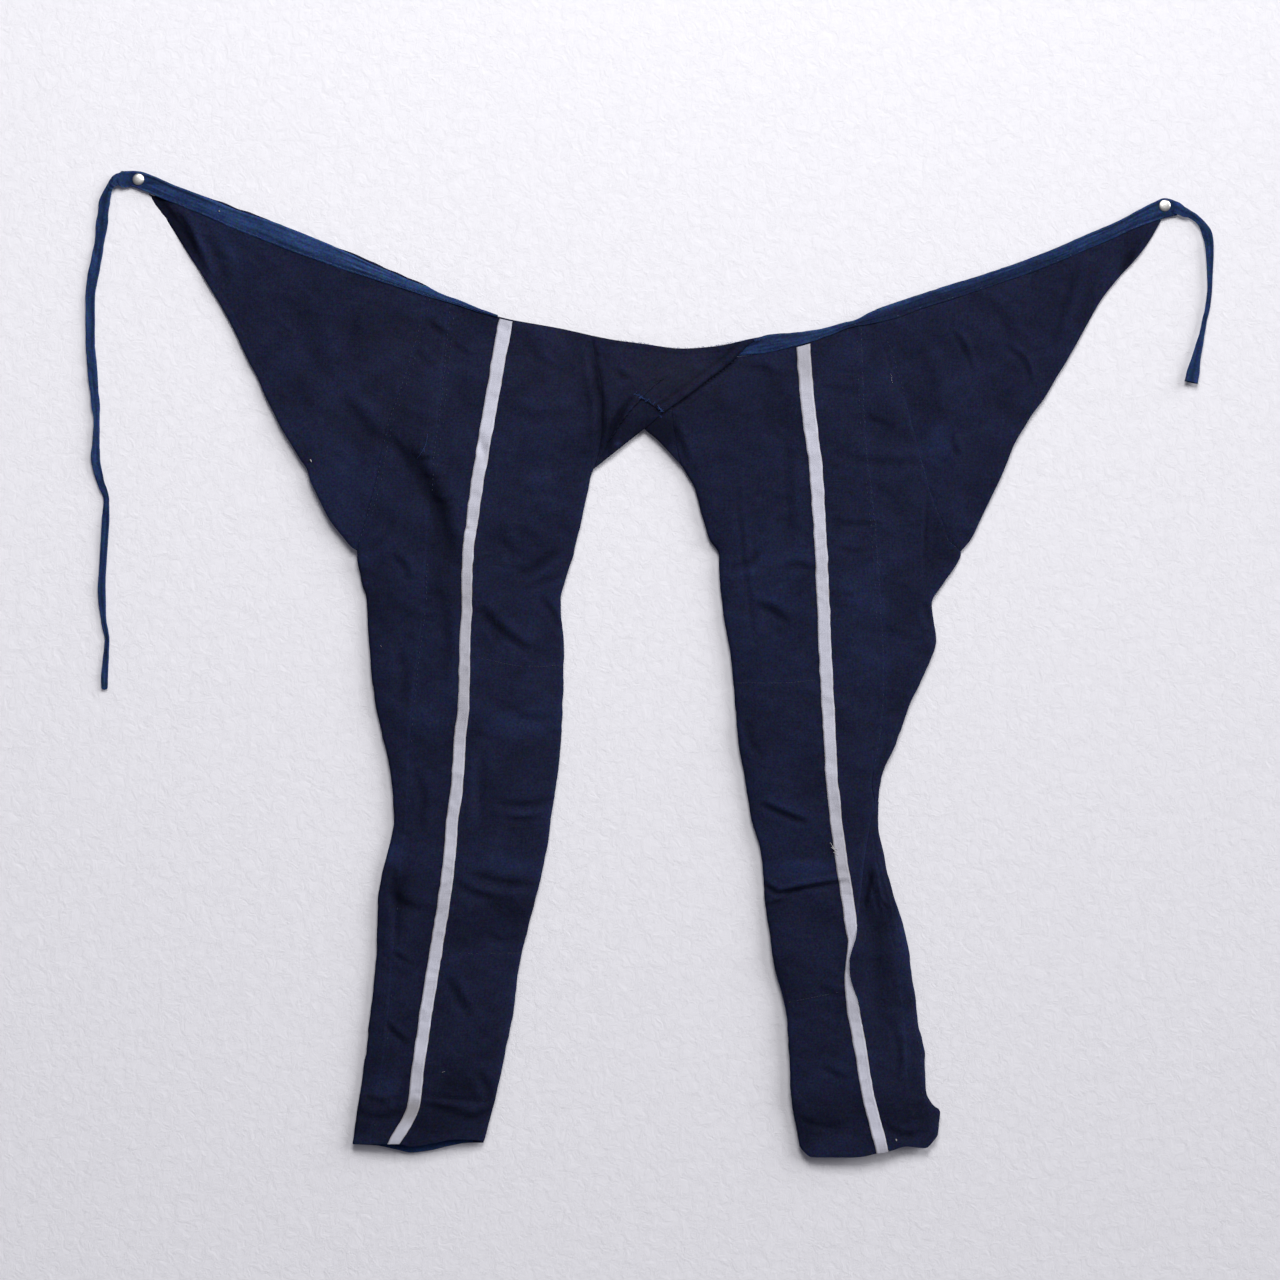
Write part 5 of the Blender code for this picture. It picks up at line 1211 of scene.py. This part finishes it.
def tie(name, rows, length, seed, mouth=0.0):
    """A flattened tube along a line of places. A mouth opens its end and turns the rim back inside."""

    def column(k, at):
        scale = 1.0 if k == 4 else 1000.0
        return reading([(place, row[k] / scale) for place, row in enumerate(rows)], at)

    def where(u, v):
        turned_in = 0.6 * mouth
        inside = np.clip((v - 1.0 + turned_in) / turned_in, 0.0, 1.0) if mouth else 0.0 * v
        t = np.where(inside > 0.0, 1.0 - inside * mouth * 0.8, v / (1.0 - turned_in))
        at = np.clip(t, 0.0, 1.0) * (len(rows) - 1)
        far = t * length
        x, z, width, off, turn = (column(k, at) for k in range(5))
        run_x, run_z = (column(k, at + 0.05) - column(k, at - 0.05) for k in (0, 1))
        size = np.maximum(np.hypot(run_x, run_z), 1e-9)
        sewn = ease(1.0 - at / 1.8)
        side_x = -run_z / size * (1.0 - sewn)
        side_z = mix(run_x / size, np.where(run_x > 0, 1.0, -1.0), sewn)
        size = np.hypot(side_x, side_z)
        angle = 2 * math.pi * u
        reach = np.sign(np.cos(angle)) * np.abs(np.cos(angle)) ** 0.8
        open_ = ease((t - 1.0 + mouth) / mouth) if mouth else 0.0
        in_band = ease(1.0 - far / TIE_SEWN)
        depth = np.sin(angle) * TIE_THICK * (0.5 + 0.08 * rumple(far, 0.0, 0.030, 91) + 0.9 * open_ - 0.26 * in_band)
        crease = 0.0007 * hill(reach - 0.25 - 0.3 * np.sin(far * 37.0 + seed), 0.22)
        crease += 0.0004 * hill(reach + 0.45 + 0.2 * np.sin(far * 53.0), 0.15)
        depth += np.where(np.sin(angle) > 0.0, -crease, crease) * (1.0 - open_) * (1.0 - in_band)
        depth += 0.00045 * rumple(far, 0.6 * reach * width, 0.017, 92) * (1.0 - in_band)
        half = width / 2 * (1.0 + 0.05 * rumple(far, 0.0, 0.026, 93) + 0.02 * rumple(far, 0.0, 0.009, 94))
        closed = np.sqrt(1.0 - curl(far, 0.002))
        if mouth:
            closed *= np.where(inside > 0.0, mix(0.86, 0.0, ease((inside - 0.8) / 0.2)), 1.0)
        else:
            closed *= np.sqrt(1.0 - curl((1.0 - t) * length, 0.003))
        half, depth = half * reach * closed, depth * closed
        x = x + side_x / size * half * np.cos(turn)
        z = z + side_z / size * half * np.cos(turn)
        y = np.minimum(-off - half * np.sin(turn) - depth * np.cos(turn), -0.0006)
        # Paler along the folded edges where worn; painted shade inside the open end, in the creases, and where the tie
        # leaves the band beside its pin.
        rub_and_shade = 0.40 * np.abs(reach) ** 6 + 0.20 * rumple(far, 3.0 * reach * width, 0.030, 95) - 0.9 * (inside > 0.0)
        rub_and_shade += 0.21 - 900.0 * crease - 0.8 * ease(1.4 - far / TIE_SEWN)
        return x, y, z, rub_and_shade, (reach * width / 2, far)

    piece = cloth(name, TIE_ROUND, round(length / TIE_PITCH), where, faded, 0.0, (), ())
    bm = bmesh.new()
    bm.from_mesh(piece.data)
    bmesh.ops.remove_doubles(bm, verts=bm.verts, dist=1e-6)
    bmesh.ops.recalc_face_normals(bm, faces=bm.faces)
    bm.to_mesh(piece.data)
    bm.free()
    return piece


piece = tie("left_tie", TIE_LEFT, 0.510, 1.0)
hang(piece, "tie_left")
piece = tie("right_tie", TIE_RIGHT, 0.190, 4.0, mouth=0.10)
hang(piece, "tie_right")


# The drawing pins: pressed from nickel-plated steel, a shallow brushed dome with a rolled rim, and a needle
# pushed through the band into the wall.
PIN_SEAT = -0.0050
PIN_STEPS = 56
PIN_CLEAN = (0.74, 0.74, 0.73, 1.0)
PIN_STAINED = (0.58, 0.57, 0.55, 1.0)

# From the middle of the dome out, round the rim, and in to the needle's point: radius and height.
PIN_PROFILE = pairs(
    0, 1.65, 1.2, 1.63, 2.4, 1.56, 3.4, 1.44, 4.3, 1.26, 4.9, 1.04, 5.3, 0.78, 5.5, 0.52, 5.6, 0.28, 5.5, 0.08,
    5.2, 0, 4.6, 0.12, 1, 0.2, 0.5, 0, 0.5, -10, 0, -12.5,
)
steel = Finish("nickel steel")
brushed = steel.add("Mapping", {"Vector": steel.place, "Scale": (900.0, 900.0, 4200.0)}).outputs[0]
brushed = steel.noise(1.0, 3.0, brushed)
steel.feed(steel.shader, {
    "Base Color": steel.blend(steel.noise(420.0, 3.0), PIN_CLEAN, PIN_STAINED), "Metallic": 1.0,
    "Roughness": steel.span(brushed, "To", 0.34, 0.46), "Normal": steel.bump(brushed, 0.15, 0.0001),
})
for side, (x, z) in (("left", PIN_LEFT), ("right", PIN_RIGHT)):
    bm = bmesh.new()
    spots = [bm.verts.new((across, -up, 0.0)) for across, up in PIN_PROFILE]
    edges = [bm.edges.new(pair) for pair in zip(spots, spots[1:])]
    bmesh.ops.spin(
        bm, geom=spots + edges, axis=(0.0, 1.0, 0.0), cent=(0.0, 0.0, 0.0), angle=2 * math.pi, steps=PIN_STEPS,
        use_merge=True,
    )
    bmesh.ops.remove_doubles(bm, verts=bm.verts, dist=1e-6)
    bmesh.ops.recalc_face_normals(bm, faces=bm.faces)
    bmesh.ops.translate(bm, verts=bm.verts, vec=(x, PIN_SEAT, z))
    pin = built(f"drawing_pin_{side}", bm, steel.material)
    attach(pin, "root")
    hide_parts(f"pin_{side}")


# The hand stitching, in thin blue cotton thread that has paled more than the cloth: felled side and wing
# seams, the hems, and the pale edges of the selvages.
BLUE_THREAD = (0.062, 0.070, 0.116, 1.0)
DARK_THREAD = (0.018, 0.026, 0.070, 1.0)
RAW_THREAD = (0.110, 0.115, 0.125, 1.0)
PALE_BLUE_THREAD = (0.105, 0.150, 0.270, 1.0)
SIDE_STITCH = (0.0052, 0.0026)
EDGE_STITCH = (0.0052, 0.0016)
RAW_STITCH = (0.0027, 0.0024)
SIDE_ROWS = 160
CROSS_ROWS = 60
BAND_STITCH_ROWS = 240


def thread_finish(name, colour):
    finish = Finish(name)
    dim = tuple(0.45 * value for value in colour[:3]) + (1.0,)
    finish.feed(finish.shader, {
        "Base Color": finish.blend(finish.noise(150.0, 4.0), dim, colour), "Roughness": 0.85,
        "Specular IOR Level": 0.2, "Normal": finish.bump(finish.noise(2600.0, 1.0), 0.3, 0.0001),
    })
    return finish.material


def stitched(name, lines, material, thick):
    """Rows of stitches in one piece. Each line is its places, the pitch and length of a stitch, and a share kept."""
    draw = np.random.default_rng(len(lines) * 7 + 1)
    bm = bmesh.new()
    for places, pitch, length, kept in lines:
        lengths = np.concatenate([[0.0], np.cumsum(np.linalg.norm(np.diff(places, axis=0), axis=1))])
        for at in np.arange(pitch / 2, lengths[-1], pitch):
            at = at + draw.uniform(-0.12, 0.12) * pitch
            if draw.uniform() > kept:
                continue
            a, b = (
                np.array([np.interp(at + end * length / 2, lengths, axis) for axis in places.T]) for end in (-1, 1)
            )
            run = Vector(b - a)
            turn = run.to_track_quat("X", "Z").to_matrix().to_4x4()
            size = Matrix.Diagonal((run.length / 2, thick, thick * 0.8, 1.0))
            matrix = Matrix.Translation(Vector((a + b) / 2)) @ turn @ size
            bmesh.ops.create_icosphere(bm, subdivisions=1, radius=1.0, matrix=matrix)
    piece = built(name, bm, material)
    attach(piece, "root")


def on_leg(leg, x, z, proud):
    return np.column_stack((x, leg.face(x, z, proud), z))


def down_leg(leg, name, aside, high, low):
    """A row of places beside one of a leg's lines. All three measures are millimetres."""
    level = np.linspace(high / 1000, low / 1000, SIDE_ROWS)
    x = leg.at(name, level) + aside / 1000
    return on_leg(leg, x, leg.height(x, level, 0.001), 0.0002)


def across_leg(leg, proud, *points):
    """A row of places through points on a leg, standing out from it by proud, all in millimetres."""
    return on_leg(leg, *along(pairs(*points), np.linspace(0.0, 1.0, CROSS_ROWS)), proud / 1000)


def along_band(leg, low, start, end):
    x = np.linspace(start, end, BAND_STITCH_ROWS)
    return on_leg(leg, x, reading(low, x) + 0.0006, BAND_PROUD + 0.0009)


lines = [
    (down_leg(left, "seam", 1.2, -134, -300), *SIDE_STITCH, 0.95),
    (down_leg(left, "seam", 1.2, -365, -500), *SIDE_STITCH, 0.85),
    (down_leg(left, "seam", 1.2, -500, -905), *SIDE_STITCH, 0.12),
    (down_leg(left, "seam", 5.2, -134, -280), *SIDE_STITCH, 0.60),
    (down_leg(left, "outer", 1.2, -134, -350), *SIDE_STITCH, 0.75),
    (down_leg(left, "outer", 5.4, -134, -330), *SIDE_STITCH, 0.60),
    (down_leg(right, "seam", -1.2, -160, -270), *SIDE_STITCH, 0.75),
    (down_leg(right, "seam", -1.2, -270, -400), *SIDE_STITCH, 0.97),
    (down_leg(right, "seam", -1.2, -400, -560), *SIDE_STITCH, 0.55),
    (down_leg(right, "outer", -1.2, -170, -350), *SIDE_STITCH, 0.60),
    (down_leg(right, "seam", -5.2, -170, -420), *SIDE_STITCH, 0.45),
]
stitched("seam_stitches", lines, thread_finish("blue thread", BLUE_THREAD), 0.00028)
lines = [
    (across_leg(left, 0.6, 238, -852.5, 257, -866), *EDGE_STITCH, 0.9),
    (across_leg(left, 0.6, 269, -868.5, 300, -872, 337, -876), *EDGE_STITCH, 0.9),
    (across_leg(right, 0.6, 623, -886.5, 655, -883, 688, -879), *EDGE_STITCH, 0.9),
    (across_leg(right, 0.6, 712, -880, 735, -884, 750, -887), *EDGE_STITCH, 0.9),
]
stitched("hem_stitches", lines, thread_finish("dark blue thread", DARK_THREAD), 0.00028)
lines = [
    (across_leg(left, 0.3, 320.5, -454.1, 374.3, -463.6, 401, -461.7), *RAW_STITCH, 0.85),
    (across_leg(left, 0.3, 305, -735.3, 362.9, -735.3), *RAW_STITCH, 0.55),
    (across_leg(right, 0.3, 569, -478.8, 608, -478.8, 643.5, -476), *RAW_STITCH, 0.85),
    (across_leg(right, 0.3, 617.5, -781.9, 668, -771.4), *RAW_STITCH, 0.55),
    (down_leg(right, "outer", -4, -770, -895), 0.0060, 0.0024, 0.8),
]
stitched("selvage_stitches", lines, thread_finish("raw thread", RAW_THREAD), 0.00016)
lines = [
    (along_band(left, BAND_LOW_LEFT, 0.030, 0.330), 0.0040, 0.0022, 0.8),
    (along_band(right, BAND_LOW_RIGHT, 0.600, 0.955), 0.0046, 0.0020, 0.22),
]
pale_blue = thread_finish("pale blue thread", PALE_BLUE_THREAD)
stitched("band_stitches", lines, pale_blue, 0.00024)


# Threads that have worked loose: the torn edge of the little gusset, the waist beside it and the start of
# the right band have frayed, and a few ends and specks of lint lie on the cloth.
FRAYED_THREAD = (0.040, 0.085, 0.280, 1.0)
PALE_THREAD = (0.420, 0.410, 0.400, 1.0)
BRIGHT_THREAD = (0.800, 0.790, 0.780, 1.0)
LOOSE = (0.0010, 0.0015, 1.0)

# Each frayed edge: how many threads, how long they are, and the edge's own line.
FRAYED = (
    (26, 5.6, 472.5, -204, 482, -209.8, 491.5, -214, 497.5, -220),
    (7, 4.4, 497.5, -220, 496.8, -227),
    (10, 2.8, 476, -155.8, 481, -156.3, 486.5, -157),
    (10, 4.4, 584, -154, 588, -153, 595, -152),
    (60, 2.6, 455, -153, 518, -160.8, 544, -159.2, 575, -153.6),
)
draw = np.random.default_rng(12)
lines = []
for count, reach, *points in FRAYED:
    reach = reach / 1000
    for share in draw.uniform(0.0, 1.0, count):
        x, z = spot_at(path(pairs(*points)), share)
        turn, bend = draw.uniform(-1.3, 1.3), draw.uniform(-0.7, 0.7)
        steps = np.linspace(-0.5, 0.5, 5) * reach * draw.uniform(0.5, 1.0)
        x = x + steps * math.cos(turn) - bend * steps ** 2 / reach
        z = z + steps * math.sin(turn) + bend * steps ** 2 / reach
        lines.append((np.column_stack((x, -flap_off(x, z) - relief(x, z) - 0.0005, z)), 0.0007, 0.0010, 1.0))
frayed = thread_finish("frayed thread", FRAYED_THREAD)
stitched("frayed_threads", lines, frayed, 0.00019)
lines = [
    (across_leg(left, 0.5, 275.5, -242.3, 274.5, -250, 272.2, -256, 269, -261.5, 265.1, -266), *LOOSE),
    (across_leg(left, 0.6, 272.2, -256, 272.4, -260), *LOOSE),
    (across_leg(right, 0.5, 703.5, -365.2, 705, -369), *LOOSE),
]
stitched("loose_blue_thread", lines, frayed, 0.00020)
lines = [
    (across_leg(right, 0.5, 714.8, -185, 716, -188, 715.8, -191, 716.8, -194), 0.0016, 0.0014, 1.0),
    (across_leg(left, 0.5, 230.5, -443, 231.8, -444.6), *LOOSE),
    (across_leg(left, 0.5, 289, -848, 292, -847.2), *LOOSE),
]
pale_thread = thread_finish("pale thread", PALE_THREAD)
stitched("loose_pale_thread", lines, pale_thread, 0.00022)
lines = [
    (across_leg(left, 0.6, 163.6, -266, 165.2, -269.6), 0.0040, 0.0040, 1.0),
    (across_leg(right, 0.6, 719.6, -910.8, 720.6, -914.2), 0.0034, 0.0034, 1.0),
    (across_leg(left, 2.0, 76.2, -30.2, 78, -30.6), 0.0018, 0.0018, 1.0),
]
stitched("lint", lines, pale_thread, 0.0009)
TAPE_FRAY = (
    (657.4, -630, 662.4, -638), (658, -634.5, 664.5, -636.5), (659, -633, 663, -640),
    (659.2, -635.2, 664, -639.2), (661.2, -629, 660.4, -635), (660, -638.8, 665.2, -642),
)
lines = [(across_leg(right, 1.8, *points), 0.0009, 0.0013, 1.0) for points in TAPE_FRAY]
stitched("tape_fray", lines, thread_finish("bright thread", BRIGHT_THREAD), 0.00024)
